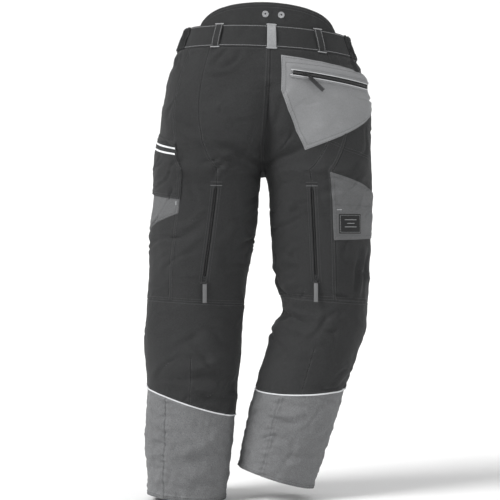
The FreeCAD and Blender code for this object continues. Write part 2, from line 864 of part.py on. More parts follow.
def make_studs():
    """Press studs for braces: two on the raised back, and two on each front."""
    body = new_body("brace_stud_body")
    profile = [
        ("0", "0"),
        ("Sizes.stud_flange_radius", "0"),
        ("Sizes.stud_flange_radius", "Sizes.stud_flange_thick"),
        ("Sizes.stud_post_radius", "Sizes.stud_flange_thick"),
        ("Sizes.stud_post_radius", "Sizes.stud_post_top"),
        ("Sizes.stud_recess_radius", "Sizes.stud_post_top"),
        ("Sizes.stud_recess_radius", "Sizes.stud_recess_floor"),
        ("0", "Sizes.stud_recess_floor"),
    ]
    sketch = loop_sketch(body, "StudSection", "XY_Plane", [profile])
    turn = body.newObject("PartDesign::Revolution", "StudTurn")
    turn.Profile = sketch
    turn.ReferenceAxis = (sketch, ["V_Axis"])
    turn.Angle = 360
    behind = -CLOTH - GAP
    places = [
        back_placement(-0.0185, 33.0, behind + GAP),
        back_placement(0.0435, 33.0, behind + GAP),
    ]
    for side in (RIGHT, LEFT):
        for u in (0.12, 0.30):
            places.append(skin_placement(side, u, -14.0, size("band_rise") + GAP))
    group_of("brace_studs", body, places)


def make_button():
    """The waist button at the centre front."""
    body = new_body("waist_button_body")
    profile = [
        ("0", "0"),
        ("Sizes.button_shank_radius", "0"),
        ("Sizes.button_shank_radius", "Sizes.button_shank_top"),
        ("Sizes.button_radius", "Sizes.button_shank_top"),
        ("Sizes.button_radius", "Sizes.button_edge"),
        ("Sizes.button_radius - 1.4", "Sizes.button_face"),
        ("0", "Sizes.button_face"),
    ]
    sketch = loop_sketch(body, "ButtonSection", "XY_Plane", [profile])
    turn = body.newObject("PartDesign::Revolution", "ButtonTurn")
    turn.Profile = sketch
    turn.ReferenceAxis = (sketch, ["V_Axis"])
    turn.Angle = 360
    finish_body(body, "waist_button", skin_placement(LEFT, 0.035, -18.0, size("band_rise") + GAP))


# ---------------------------------------------------------------- pockets

def make_hip_pocket():
    """The zipped pocket on the right seat, a patch with a straight top and a pointed foot."""
    inner_edge = [
        (0.8404, -275.0), (0.8978, -232.0), (0.9373, -185.0), (0.9626, -141.0), (0.9626, -60.0),
    ]
    outer_edge = [(0.47, level) for level in (-156.0, -138.0, -121.0, -103.0, -86.0)]
    patch = ruled_sheet(RIGHT, outer_edge, inner_edge, GAP + PATCH, GAP, 16, 16)
    add_sheet("hip_pocket", patch)


def hip_zip_circle():
    """The hip zip's arc: a circle through three points above the pocket."""
    offset = size("hip_zip_offset")
    first = skin(RIGHT, 0.929, -100.0, offset)
    middle = skin(RIGHT, 0.760, -109.0, offset)
    last = skin(RIGHT, 0.590, -114.0, offset)
    edge = Part.Arc(first, middle, last).toShape()
    return edge, first, last


def hip_zip_frame(circle, point):
    """The frame of a point on the arc: Y outwards, X along the circle's axis."""
    out = (point - circle.Center).normalize()
    axis = Vector(circle.Axis).normalize()
    across = axis if axis.z > 0 else axis * -1
    return frame_placement(point, across, out)


def make_hip_zip():
    """A curved zip: its section turned about the arc's axis, with slider and pull near one end."""
    edge, first, last = hip_zip_circle()
    circle = edge.Curve
    start = hip_zip_frame(circle, first)
    radius = circle.Radius
    sweep = math.degrees(edge.Length / radius)
    body = new_body("hip_zip_body")
    outline = tape_loop("Sizes.hip_tape_half_width")
    sketch = loop_sketch(body, "Section", "XY_Plane", [outline])
    turn = body.newObject("PartDesign::Revolution", "Tape")
    turn.Profile = sketch
    axis_line = body.newObject("PartDesign::Line", "ArcAxis")
    axis_line.Placement = Placement(Vector(0, -radius, 0), Rotation(Vector(0, 1, 0), 90))
    turn.ReferenceAxis = (axis_line, [""])
    turn.Angle = sweep
    finish_body(body, "hip_zip", start)
    doc.recompute()
    if body.Shape.distToShape(Part.Vertex(last))[0] > 1.0:
        turn.Reversed = True
    share = 0.14
    at = edge.FirstParameter + (edge.LastParameter - edge.FirstParameter) * share
    slider_frame = hip_zip_frame(circle, edge.valueAt(at))
    make_slider("hip_slider", slider_frame)
    swing = Rotation(Vector(0, 1, 0), size("hip_pull_turn"))
    make_pull("hip_pull", slider_frame, slider_frame.Rotation.multiply(swing))


def make_left_thigh_pocket():
    """The left thigh's cargo pocket, its flap and the two reflective stripes on the flap."""
    bag_front = [(0.36, -508.0), (0.36, -240.0)]
    bag_back = [(0.672, -424.0), (0.672, -275.0)]
    bag = ruled_sheet(LEFT, bag_front, bag_back, GAP + size("bag_thick"), GAP, 18, 14)
    add_sheet("thigh_pocket", bag)
    under = GAP + size("bag_thick") + size("flap_gap")
    flap_front = [(0.352, -362.0), (0.352, -218.0)]
    flap_back = [(0.672, -389.0), (0.672, -256.0)]
    flap = ruled_sheet(LEFT, flap_front, flap_back, under + PATCH, under, 14, 10)
    add_sheet("thigh_flap", flap)
    stripes = []
    for drop in (17.0, 31.0):
        front = [(0.358, -218.0 - drop - 2), (0.358, -218.0 - drop + 2)]
        back = [(0.666, -256.0 - drop - 2), (0.666, -256.0 - drop + 2)]
        on_flap = under + PATCH + GAP
        stripes.append(ruled_sheet(LEFT, front, back, on_flap + 0.6, on_flap, 9, 2))
    add_sheet("reflective_stripes", Part.makeCompound(stripes))


def make_right_thigh_pocket():
    """The right thigh's rule pocket, with a plain label on it."""
    front = [(0.42, -474.0), (0.42, -394.0)]
    back = [(0.716, -480.0), (0.72, -324.0)]
    pocket = ruled_sheet(RIGHT, front, back, GAP + size("bag_thick"), GAP, 16, 12)
    add_sheet("rule_pocket", pocket)
    label_front = [(0.617, -465.0), (0.617, -421.0)]
    label_back = [(0.699, -465.0), (0.699, -421.0)]
    under = GAP * 2 + size("bag_thick")
    label = ruled_sheet(RIGHT, label_front, label_back, under + 0.9, under, 4, 4)
    add_sheet("pocket_label", label)


def make_hand_pockets():
    """The welts of the two slanted hand pockets on the fronts."""
    for side in (RIGHT, LEFT):
        lower = [(0.395, -196.0), (0.19, -60.0)]
        upper = [(0.425, -180.0), (0.225, -48.0)]
        welt = ruled_sheet(side, lower, upper, GAP + PATCH, GAP, 3, 8)
        add_sheet(f"{side_word(side)}_hand_pocket", welt)


# ---------------------------------------------------------------- build and write

def check_document():
    """Stop if any object failed, or any kept shape is empty or broken."""
    doc.recompute()
    for thing in doc.Objects:
        if "Invalid" in thing.State or "Error" in thing.State:
            raise RuntimeError(f"{thing.Label} failed: {thing.State}")
    for thing in kept:
        if thing.Shape.isNull() or not thing.Shape.isValid():
            raise RuntimeError(f"{thing.Label} has no valid shape")
        if thing.Shape.Volume <= 0:
            raise RuntimeError(f"{thing.Label} has no volume")


def write_parts():
    os.makedirs("parts", exist_ok=True)
    for thing in kept:
        thing.Shape.exportStep(f"parts/{thing.Label}.step")


for leg_side in (RIGHT, LEFT):
    make_upper_leg(leg_side)
    make_lower_leg(leg_side)
    make_vent(leg_side)
make_waistband()
make_yoke()
make_belt_loops()
make_studs()
make_button()
make_fly()
make_hip_pocket()
make_hip_zip()
make_left_thigh_pocket()
make_right_thigh_pocket()
make_hand_pockets()
check_document()
write_parts()
print(f"{len(kept)} nodes written")
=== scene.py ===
"""Looks of the protective trousers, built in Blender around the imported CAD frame.

The cloth follows the same skin as the CAD: u runs round a leg (0 inseam or centre front, 0.25
front, 0.5 outside, 0.75 back, 1 inseam or centre back) and level is a ring's height at its inner
edge. Lengths in this script are millimetres; meshes are made in metres.
"""
import math

import bpy
import numpy as np
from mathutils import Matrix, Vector


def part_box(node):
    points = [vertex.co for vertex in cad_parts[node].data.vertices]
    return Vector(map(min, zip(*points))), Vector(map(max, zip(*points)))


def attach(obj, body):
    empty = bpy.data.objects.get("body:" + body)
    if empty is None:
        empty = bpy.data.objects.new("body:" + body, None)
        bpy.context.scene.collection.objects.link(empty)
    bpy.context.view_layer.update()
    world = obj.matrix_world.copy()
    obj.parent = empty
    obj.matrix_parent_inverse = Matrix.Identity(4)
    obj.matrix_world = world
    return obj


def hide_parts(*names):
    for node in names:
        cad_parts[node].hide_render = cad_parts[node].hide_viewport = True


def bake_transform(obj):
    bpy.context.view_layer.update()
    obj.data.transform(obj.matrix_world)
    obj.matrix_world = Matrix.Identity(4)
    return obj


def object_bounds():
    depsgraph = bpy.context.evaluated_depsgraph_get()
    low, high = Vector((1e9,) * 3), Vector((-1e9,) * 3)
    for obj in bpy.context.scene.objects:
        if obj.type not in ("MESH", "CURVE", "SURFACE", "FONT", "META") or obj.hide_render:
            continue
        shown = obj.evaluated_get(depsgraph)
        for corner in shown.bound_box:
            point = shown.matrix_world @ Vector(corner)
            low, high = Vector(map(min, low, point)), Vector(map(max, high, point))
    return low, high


MM = 0.001
RIGHT = 1
LEFT = -1
WORDS = {RIGHT: "right", LEFT: "left"}

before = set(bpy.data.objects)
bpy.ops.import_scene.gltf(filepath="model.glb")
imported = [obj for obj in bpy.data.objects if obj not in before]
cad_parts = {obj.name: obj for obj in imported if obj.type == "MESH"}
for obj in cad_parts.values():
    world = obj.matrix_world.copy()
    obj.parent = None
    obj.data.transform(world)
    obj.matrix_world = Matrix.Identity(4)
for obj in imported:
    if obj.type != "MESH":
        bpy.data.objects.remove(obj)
cad_low, cad_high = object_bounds()

# ---------------------------------------------------------------- the skin

# One row for each ring: inner x, level, width, lean, middle y, half depth, pitch.
TRUNK = [
    (6, 66, None, 3.0, 0, 118, 3.0),
    (6, 8, None, 3.0, 0, 122, 3.0),
    (6, -44, None, 3.0, -1, 127, 2.6),
    (5, -100, None, 2.5, -3, 135, 2.0),
    (0, -180, None, 1.5, -7, 136, 0.5),
    (-5, -250, None, 0.5, -7, 130, 0),
    (-10, -318, None, 0.5, -4, 121, 0),
]
TRUNK_WIDTHS = {
    RIGHT: (190, 184, 201, 226, 242, 248.5, 255),
    LEFT: (190, 196, 214, 235, 246, 248, 252),
}
LEG = {
    RIGHT: [
        (-2, -352, 246, 0, 0, 117, 0),
        (9, -465, 235, 0, 8, 108, 0),
        (21, -578, 221, 2, 16, 100, 0),
        (38, -645, 198, 8.5, 20, 98, 0),
        (15, -681, 208, 16, 20, 98, 0),
        (-6, -757, 203, 16.3, 18, 98, 0),
        (-40.5, -869, 204, 16.6, 12, 95, 0),
        (-55, -946, 191, 17, 8, 91, 0),
        (-68, -1008, 182, 17, 5, 88, 0),
    ],
    LEFT: [
        (-12, -352, 251, 0.5, 0, 117, 0),
        (-28, -465, 245, 2, 4, 108, 0),
        (-49, -578, 231, 3, 8, 102, 0),
        (-54, -650, 230, 3, 10, 100, 0),
        (-61, -747, 228, 3, 6, 100, 0),
        (-70, -822, 214, 3.5, 2, 97, 0),
        (-75, -898, 209, 4, -2, 95, 0),
        (-85, -973, 199, 4, -6, 91, 0),
        (-96, -1085, 184, 4.3, -10, 88, 0),
    ],
}
CROTCH = -318.0
JOIN = -150.0
WAIST_TOP = 8.0
WAIST_LOW = -44.0
HEM = {RIGHT: -1008.0, LEFT: -1085.0}
KNEE_TOP = {RIGHT: -611.0, LEFT: -630.0}
KNEE_LOW = {RIGHT: -700.0, LEFT: -755.0}
CUFF = {RIGHT: (-828.0, -768.0, 10.0), LEFT: (-888.0, -835.0, 5.0)}
SIDE_SEAM = {RIGHT: 0.712, LEFT: 0.66}
CUFF_SEAM = {RIGHT: 0.82, LEFT: 0.66}
FRONT_SEAM = 0.44
VENT_SEAM = 0.777
CALF_SEAM = 0.75
VENT_TOP = -362.0
VENT_LOW = {RIGHT: -570.0, LEFT: -580.0}
CENTRE = 0.0003
# Half of the gap between two sewn panels in u, and half of the vent seam in millimetres.
HALF_GAP = 0.0002
SEAM = 0.12
VENT_SLOT_HALF = 3.3
VENT_SINK = -4.9
HIP_ZIP_LIFT = 7.0
KNEE_LEAN = {RIGHT: 10.5, LEFT: 3.0}
# Stitches that run round a leg stop just short of the inseam.
FULL_RING = (0.004, 0.996)
SHARP_ANGLE = math.radians(50)
# Height of stitches over the cloth, on a single layer and on a felled seam.
ON_CLOTH = 0.2
ON_FELL = 0.95


def unit(vectors):
    """Vectors made one long."""
    return vectors / np.maximum(np.linalg.norm(vectors, axis=-1, keepdims=True), 1e-9)


def ease(t):
    """A smooth rise from 0 to 1."""
    return t * t * (3 - 2 * t)


def run_along(path):
    """Length from the start of a path to each of its points."""
    return np.concatenate([[0], np.cumsum(np.linalg.norm(np.diff(path, axis=0), axis=1))])


def ring_table(side):
    """Rings of a side as rows of numbers, from the hem up."""
    trunk = [list(row) for row in TRUNK]
    for row, width in zip(trunk, TRUNK_WIDTHS[side]):
        row[2] = width
    rows = np.array(trunk + [list(row) for row in LEG[side]], float)
    return rows[np.argsort(rows[:, 1])]


def ring_slopes(rows):
    """How fast the measures of each ring change with level."""
    low = rows[np.maximum(np.arange(len(rows)) - 1, 0)]
    high = rows[np.minimum(np.arange(len(rows)) + 1, len(rows) - 1)]
    return (high - low) / (high[:, 1] - low[:, 1])[:, None]


TABLES = {side: ring_table(side) for side in (RIGHT, LEFT)}
SLOPES = {side: ring_slopes(TABLES[side]) for side in (RIGHT, LEFT)}


def ring_at(side, level):
    """Ring measures at an array of levels, the last axis holding the seven measures."""
    rows = TABLES[side]
    slopes = SLOPES[side]
    index = np.clip(np.searchsorted(rows[:, 1], level) - 1, 0, len(rows) - 2)
    low, high = rows[index], rows[index + 1]
    span = (high[..., 1] - low[..., 1])[..., None]
    t = np.clip((level[..., None] - low[..., 1:2]) / span, 0, 1)
    return (
        (2 * t ** 3 - 3 * t ** 2 + 1) * low
        + (t ** 3 - 2 * t ** 2 + t) * slopes[index] * span
        + (3 * t ** 2 - 2 * t ** 3) * high
        + (t ** 3 - t ** 2) * slopes[index + 1] * span
    )


def skin_point(side, u, level):
    """Points of the skin that the cloth follows, joined at the centre seams above the crotch."""
    u, level = np.broadcast_arrays(np.asarray(u, float), np.asarray(level, float))
    inner, _, width, lean, middle, depth, pitch = np.moveaxis(ring_at(side, level), -1, 0)
    share = np.clip((level - CROTCH) / (JOIN - CROTCH), 0, 1)
    join = (1 - (1 - share) ** 2) ** 0.75
    across = (1 - join) * width / 2 * (1 - np.cos(2 * np.pi * u))
    across = across + join * width * np.sin(np.pi * u)
    fore = (1 - join) * depth * np.sin(2 * np.pi * u) + join * depth * np.cos(np.pi * u)
    drop = np.sin(np.radians(lean)) * side * across + np.sin(np.radians(pitch)) * (fore + depth)
    x = inner + side * across * np.cos(np.radians(lean))
    return np.stack([x, middle + fore, level - drop], axis=-1)


def skin_normal(side, u, level):
    """Outward way of the skin."""
    u = np.asarray(u, float)
    level = np.asarray(level, float)
    round_way = skin_point(side, u + 0.002, level) - skin_point(side, u - 0.002, level)
    up_way = skin_point(side, u, level + 1) - skin_point(side, u, level - 1)
    return unit(np.cross(round_way, up_way) * -side)


# ---------------------------------------------------------------- folds of the cloth

# Each fold: side, points (u, level) along it, half width, height (below 0 for a crease).
FOLDS = [
    # creases that run into the crotch
    (LEFT, [(0.80, -258), (0.90, -285), (0.985, -306)], 8, -3.6),
    (LEFT, [(0.84, -236), (0.92, -262), (0.98, -287)], 11, 1.6),
    (LEFT, [(0.86, -325), (0.94, -332), (0.995, -345)], 9, -3.2),
    (LEFT, [(0.83, -345), (0.90, -358), (0.96, -372)], 11, 1.4),
    (LEFT, [(0.86, -395), (0.94, -385), (0.995, -365)], 9, -2.4),
    (RIGHT, [(0.83, -268), (0.91, -288), (0.985, -306)], 8, -3.4),
    (RIGHT, [(0.85, -242), (0.92, -262), (0.97, -280)], 11, 1.6),
    (RIGHT, [(0.84, -318), (0.90, -322), (0.95, -326)], 9, 1.2),
    (RIGHT, [(0.84, -350), (0.92, -364), (0.99, -380)], 9, -1.8),
    (RIGHT, [(0.955, -140), (0.965, -200), (0.985, -250)], 10, -3.0),
    # the cloth bunched under the elastics at both sides
    (LEFT, [(0.40, -52), (0.48, -60), (0.60, -62)], 10, 1.1),
    (LEFT, [(0.44, -70), (0.54, -84), (0.66, -78)], 9, -1.4),
    (LEFT, [(0.55, -50), (0.60, -68), (0.66, -92)], 7, -2.4),
    (RIGHT, [(0.40, -50), (0.48, -62), (0.58, -70)], 10, 1.2),
    (RIGHT, [(0.46, -58), (0.54, -78), (0.62, -70)], 8, -1.4),
    (RIGHT, [(0.60, -46), (0.64, -58), (0.70, -64)], 7, -2.2),
    (LEFT, [(0.575, -47), (0.58, -62), (0.60, -84)], 4.5, -1.5),
    (LEFT, [(0.61, -47), (0.62, -58), (0.64, -74)], 4.5, -1.4),
    (LEFT, [(0.64, -47), (0.655, -56), (0.68, -66)], 4.5, -1.2),
    (RIGHT, [(0.575, -47), (0.58, -62), (0.59, -80)], 4.5, -1.5),
    (RIGHT, [(0.61, -47), (0.615, -58), (0.63, -72)], 4.5, -1.5),
    (RIGHT, [(0.645, -47), (0.655, -56), (0.67, -68)], 4.5, -1.3),
    # pulls across the left seat and thigh
    (LEFT, [(0.70, -232), (0.76, -250), (0.82, -268)], 10, 2.4),
    (LEFT, [(0.66, -205), (0.73, -225), (0.80, -243)], 11, -2.0),
    (LEFT, [(0.68, -330), (0.71, -370), (0.735, -400)], 9, -2.2),
    (LEFT, [(0.67, -455), (0.71, -455), (0.75, -420)], 9, 2.2),
    (LEFT, [(0.62, -470), (0.67, -488), (0.72, -470)], 8, -1.8),
    (LEFT, [(0.69, -520), (0.72, -495), (0.76, -470)], 8, 1.6),
    (LEFT, [(0.82, -470), (0.87, -440), (0.93, -415)], 10, 1.8),
    # pulls across the right thigh
    (RIGHT, [(0.72, -445), (0.75, -400), (0.765, -355)], 9, -2.4),
    (RIGHT, [(0.80, -385), (0.85, -400), (0.89, -440)], 10, 2.0),
    (RIGHT, [(0.82, -540), (0.90, -548), (0.97, -545)], 8, -2.0),
    (RIGHT, [(0.82, -575), (0.90, -585), (0.97, -580)], 9, 2.4),
    (RIGHT, [(0.80, -600), (0.88, -612), (0.96, -605)], 8, -2.4),
    (RIGHT, [(0.62, -505), (0.63, -560), (0.64, -600)], 8, -3.0),
    (RIGHT, [(0.555, -500), (0.575, -550), (0.60, -600)], 9, -3.2),
    (RIGHT, [(0.59, -505), (0.605, -550), (0.62, -600)], 8, 2.4),
    # folds behind the bent right knee
    (RIGHT, [(0.79, -662), (0.86, -656), (0.92, -651), (0.995, -646)], 3.4, -3.6),
    (RIGHT, [(0.79, -668), (0.86, -662), (0.92, -658), (0.995, -653)], 9, -3.0),
    (RIGHT, [(0.79, -648), (0.86, -643), (0.92, -639), (0.99, -634)], 7, 3.6),
    (RIGHT, [(0.80, -676), (0.88, -672), (0.95, -670)], 9, 2.0),
    (RIGHT, [(0.77, -618), (0.772, -655), (0.797, -685), (0.81, -700)], 6, 1.9),
    (RIGHT, [(0.755, -625), (0.757, -660), (0.77, -690)], 6, -1.6),
    (RIGHT, [(0.67, -652), (0.71, -664), (0.75, -668)], 6, -2.0),
    (RIGHT, [(0.66, -636), (0.71, -645), (0.75, -650)], 7, 1.4),
    (RIGHT, [(0.69, -615), (0.70, -645), (0.71, -672)], 6, -1.6),
    (RIGHT, [(0.86, -690), (0.90, -700), (0.95, -700)], 8, -1.2),
    (RIGHT, [(0.82, -705), (0.85, -728), (0.88, -748)], 8, -1.0),
    (RIGHT, [(0.74, -780), (0.79, -765), (0.85, -762)], 9, -0.9),
    # long soft folds on the left calf
    (LEFT, [(0.69, -735), (0.73, -722), (0.77, -700)], 9, -2.2),
    (LEFT, [(0.71, -805), (0.79, -800), (0.88, -772)], 11, -3.0),
    (LEFT, [(0.72, -785), (0.80, -775), (0.88, -750)], 12, 2.4),
    (LEFT, [(0.76, -850), (0.84, -846), (0.93, -832)], 11, -3.0),
    (LEFT, [(0.76, -832), (0.84, -825), (0.93, -808)], 12, 2.4),
    (LEFT, [(0.88, -818), (0.93, -815), (0.98, -795)], 9, -2.0),
    (LEFT, [(0.80, -668), (0.87, -662), (0.93, -655)], 9, -1.8),
    # folds that gather in the cuffs
    (LEFT, [(0.56, -905), (0.62, -918), (0.67, -915)], 10, 3.0),
    (LEFT, [(0.55, -960), (0.61, -968), (0.66, -960)], 10, -3.2),
    (LEFT, [(0.55, -985), (0.61, -990), (0.66, -985)], 11, 3.2),
    (LEFT, [(0.55, -1015), (0.61, -1022), (0.66, -1012)], 9, -3.0),
    (LEFT, [(0.57, -1042), (0.62, -1048), (0.66, -1036)], 10, 2.4),
    (LEFT, [(0.70, -1012), (0.80, -985), (0.90, -950)], 14, -2.4),
    (LEFT, [(0.70, -985), (0.80, -955), (0.90, -925)], 14, 2.4),
    (LEFT, [(0.72, -1040), (0.82, -1020), (0.92, -990)], 13, 2.2),
    (LEFT, [(0.74, -1062), (0.84, -1045), (0.94, -1020)], 10, -1.6),
    (RIGHT, [(0.71, -862), (0.78, -880), (0.85, -872)], 9, -3.2),
    (RIGHT, [(0.71, -845), (0.78, -862), (0.86, -852)], 11, 2.8),
    (RIGHT, [(0.86, -862), (0.91, -878), (0.95, -880)], 9, -2.6),
    (RIGHT, [(0.55, -850), (0.60, -880), (0.65, -900)], 12, -2.6),
    (RIGHT, [(0.74, -970), (0.80, -955), (0.84, -935)], 11, 2.0),
    (RIGHT, [(0.66, -930), (0.72, -950), (0.80, -948)], 12, -2.0),
    # the front, which hangs with softer folds
    (LEFT, [(0.10, -660), (0.22, -650), (0.36, -665)], 12, -2.6),
    (LEFT, [(0.10, -735), (0.22, -748), (0.36, -735)], 13, 2.6),
    (RIGHT, [(0.10, -640), (0.22, -632), (0.36, -645)], 12, 3.0),
    (RIGHT, [(0.10, -700), (0.22, -690), (0.36, -660)], 12, -3.0),
    (LEFT, [(0.08, -900), (0.20, -930), (0.38, -925)], 14, -3.0),
    (LEFT, [(0.08, -990), (0.22, -1010), (0.40, -990)], 14, 3.0),
    (RIGHT, [(0.08, -880), (0.20, -905), (0.38, -880)], 14, -3.0),
    (RIGHT, [(0.10, -950), (0.22, -965), (0.40, -930)], 14, 2.6),
]
for shared_side in (LEFT, RIGHT):
    FOLDS += [
        # the cleft at the centre back
        (shared_side, [(0.9995, -110), (0.9995, -215), (0.9995, -312)], 24, -4.0),
        (shared_side, [(0.9995, -130), (0.9995, -225), (0.9995, -312)], 8, -2.4),
        # creases beside the crotch at the front
        (shared_side, [(0.02, -300), (0.10, -280), (0.22, -262)], 12, -4.0),
        (shared_side, [(0.02, -335), (0.10, -345), (0.20, -372)], 12, 3.4),
    ]

FOLD_SCALE = 2.3
U_STEPS = 300
LEVEL_STEP = 2.5
LEVEL_HIGH = 76.0


def smooth_line(points, count):
    """Points of a soft line through a few (u, level) points."""
    points = np.array(points, float)
    place = np.linspace(0, len(points) - 1, count)
    known = np.arange(len(points))
    line = np.stack([np.interp(place, known, points[:, k]) for k in range(2)], axis=1)
    for _ in range(3):
        line[1:-1] = (line[:-2] + 2 * line[1:-1] + line[2:]) / 4
    return line


def fold_height(rest, fold):
    """Height that one fold gives to an array of rest points."""
    side, points, half_width, height = fold
    line = smooth_line(points, 13)
    path = skin_point(side, line[:, 0], line[:, 1])
    reach = half_width * 4
    flat = rest.reshape(-1, 3)
    near = np.all((flat > path.min(0) - reach) & (flat < path.max(0) + reach), axis=1)
    result = np.zeros(len(flat))
    if not near.any():
        return result.reshape(rest.shape[:-1])
    spots = flat[near]
    best = np.full(len(spots), 1e9)
    along = np.zeros(len(spots))
    for index in range(len(path) - 1):
        start, step = path[index], path[index + 1] - path[index]
        t = np.clip((spots - start) @ step / (step @ step), 0, 1)
        gap = np.linalg.norm(spots - start - t[:, None] * step, axis=1)
        closer = gap < best
        best[closer] = gap[closer]
        along[closer] = ((index + t) / (len(path) - 1))[closer]
    taper = np.sin(np.pi * np.clip(along, 0.04, 0.96)) ** 0.7
    shape = np.exp(-(best / half_width) ** 2) - 0.35 * np.exp(-(best / (2.1 * half_width)) ** 2)
    result[near] = height * FOLD_SCALE * shape * taper
    return result.reshape(rest.shape[:-1])


def waves(rest, scale, seed):
    """Soft even noise between about -1 and 1: a sum of waves in fixed random directions."""
    dice = np.random.default_rng(seed)
    total = np.zeros(rest.shape[:-1])
    for _ in range(14):
        way = dice.normal(size=3)
        way /= np.linalg.norm(way)
        pitch = 2 * np.pi / (scale * dice.uniform(0.7, 1.6))
        total += np.sin(rest @ way * pitch + dice.uniform(0, 2 * np.pi))
    return total / 3.7


def line_distance(rest, side, u, levels):
    """Distance from rest points to a lengthwise line of the skin."""
    path = skin_point(side, np.full(24, u), np.linspace(levels[0], levels[1], 24))
    flat = rest.reshape(-1, 3)
    best = np.full(len(flat), 1e9)
    for spot in path:
        best = np.minimum(best, np.linalg.norm(flat - spot, axis=1))
    return best.reshape(rest.shape[:-1])


def random_creases(rest):
    """Short curved creases where soft noise crosses zero, most of them running round the body."""
    flat_way = rest * np.array([1.0, 1.0, 1.9])
    total = np.zeros(rest.shape[:-1])
    for seed, depth, scale in ((21, 3.4, 190.0), (23, 2.8, 150.0), (25, 2.0, 105.0)):
        line = waves(flat_way, scale, seed)
        mask = np.clip(waves(rest, 150.0, seed + 1) * 1.3, 0, 1)
        valley = np.exp(-(line / 0.13) ** 2)
        shoulder = np.exp(-((np.abs(line) - 0.36) / 0.22) ** 2)
        total += depth * mask * (0.5 * shoulder - valley)
    return total


def seam_puckers(rest, side):
    """Small even puckers beside the lengthwise seams of the cuffs, calves and thighs."""
    total = np.zeros(rest.shape[:-1])
    low = HEM[side]
    high = float(cuff_level(side, CUFF_SEAM[side]))
    seams = (
        (CUFF_SEAM[side], (low, high - 4), 1.9, 15.0),
        (FRONT_SEAM, (low, high), 1.2, 18.0),
        (CALF_SEAM, (high, KNEE_LOW[side]), 0.5, 22.0),
        (SIDE_SEAM[side], (KNEE_TOP[side], -200), 0.4, 26.0),
    )
    for u, levels, height, pitch in seams:
        near = np.exp(-(line_distance(rest, side, u, levels) / 15.0) ** 2)
        phase = rest[..., 2] * 2 * np.pi / pitch + 1.8 * waves(rest, 70.0, 31)
        total += height * near * np.sin(phase)
    return total


def make_field(side):
    """How far the cloth stands off the skin, on a grid over u and level."""
    us = np.linspace(0, 1, U_STEPS + 1)
    levels = np.arange(HEM[side] - 12, LEVEL_HIGH + LEVEL_STEP, LEVEL_STEP)
    grid_u, grid_level = np.meshgrid(us, levels, indexing="ij")
    rest = skin_point(side, grid_u, grid_level)
    height = 1.5 * waves(rest, 95.0, 3) + 0.6 * waves(rest, 38.0, 5)
    above_cuff = np.clip((grid_level - cuff_level(side, grid_u) + 10) / 20, 0, 1)
    height += random_creases(rest) * (0.55 + 0.45 * above_cuff) + seam_puckers(rest, side)
    for fold in FOLDS:
        height += fold_height(rest, fold)
    below_cuff = np.clip((cuff_level(side, grid_u) - grid_level) / 30, 0, 1)
    height += below_cuff * (0.9 * waves(rest, 24.0, 9) + 0.5 * waves(rest, 13.0, 11))
    knee_seam = np.exp(-((grid_level - KNEE_TOP[side]) / 16.0) ** 2)
    height += knee_seam * 0.6 * waves(rest, 15.0, 13)
    band = np.exp(-((grid_level - WAIST_LOW) / 26.0) ** 2)
    height += band * 0.7 * waves(rest, 26.0, 15)
    vent_gap = line_distance(rest, side, VENT_SEAM, (VENT_TOP + 6, VENT_LOW[side] - 50))
    calm = 1 - 0.9 * np.exp(-(vent_gap / 26.0) ** 2)
    trunk_calm = 1 - 0.75 * np.clip((grid_level - WAIST_LOW + 14) / 14, 0, 1)
    height *= calm * trunk_calm
    round_inseam = np.exp(-(np.minimum(grid_u, 1 - grid_u) / 0.13) ** 4)
    below = np.clip((CROTCH + 10 - grid_level) / 10, 0, 1)
    inner = round_inseam * below * np.clip((grid_level + 440) / 70, 0, 1)
    height -= inner * (np.maximum(height, 0) + 4.2)
    if side == RIGHT:
        zip_calm = 1 - 0.9 * np.exp(-(zip_arc_distance(rest) / 34.0) ** 2)
        height *= zip_calm
    return {"low": levels[0], "height": height}


def cuff_level(side, u):
    """Level of the cuff's top edge, which slopes and sags round the leg."""
    inner, outer, sag = CUFF[side]
    rise = (1 - np.cos(2 * np.pi * np.asarray(u, float))) / 2
    return inner + (outer - inner) * rise - sag * np.abs(np.sin(2 * np.pi * np.asarray(u, float)))


def hip_zip_points(offset):
    """Both ends and the middle of the hip zip, at some distance outwards from the skin."""
    ends = [(0.929, -100.0), (0.760, -109.0), (0.590, -114.0)]
    return [
        skin_point(RIGHT, u, level) + skin_normal(RIGHT, u, level) * offset for u, level in ends
    ]


def circle_through(a, b, c):
    """Centre, radius and unit axis of the circle through three points."""
    ab, ac = b - a, c - a
    axis = np.cross(ab, ac)
    to_centre = np.cross(axis, ab) * (ac @ ac) + np.cross(ac, axis) * (ab @ ab)
    to_centre = to_centre / (2 * (axis @ axis))
    axis = axis / np.linalg.norm(axis)
    if axis[2] < 0:
        axis = -axis
    return a + to_centre, np.linalg.norm(to_centre), axis


ZIP_ENDS = hip_zip_points(HIP_ZIP_LIFT)
ZIP_CENTRE, ZIP_RADIUS, ZIP_AXIS = circle_through(*ZIP_ENDS)
ZIP_START = unit(ZIP_ENDS[0] - ZIP_CENTRE)
ZIP_SIDE = np.cross(ZIP_AXIS, ZIP_START)
ZIP_END = ZIP_ENDS[2] - ZIP_CENTRE
ZIP_SWEEP = math.atan2(ZIP_END @ ZIP_SIDE, ZIP_END @ ZIP_START)


def zip_arc(share, radial=0.0, axial=0.0):
    """A point of the hip zip's arc, moved outwards and along the arc's axis."""
    angle = np.asarray(share) * ZIP_SWEEP
    out = np.cos(angle)[..., None] * ZIP_START + np.sin(angle)[..., None] * ZIP_SIDE
    radial = np.asarray(radial)[..., None]
    axial = np.asarray(axial)[..., None]
    return ZIP_CENTRE + out * (ZIP_RADIUS + radial) + ZIP_AXIS * axial


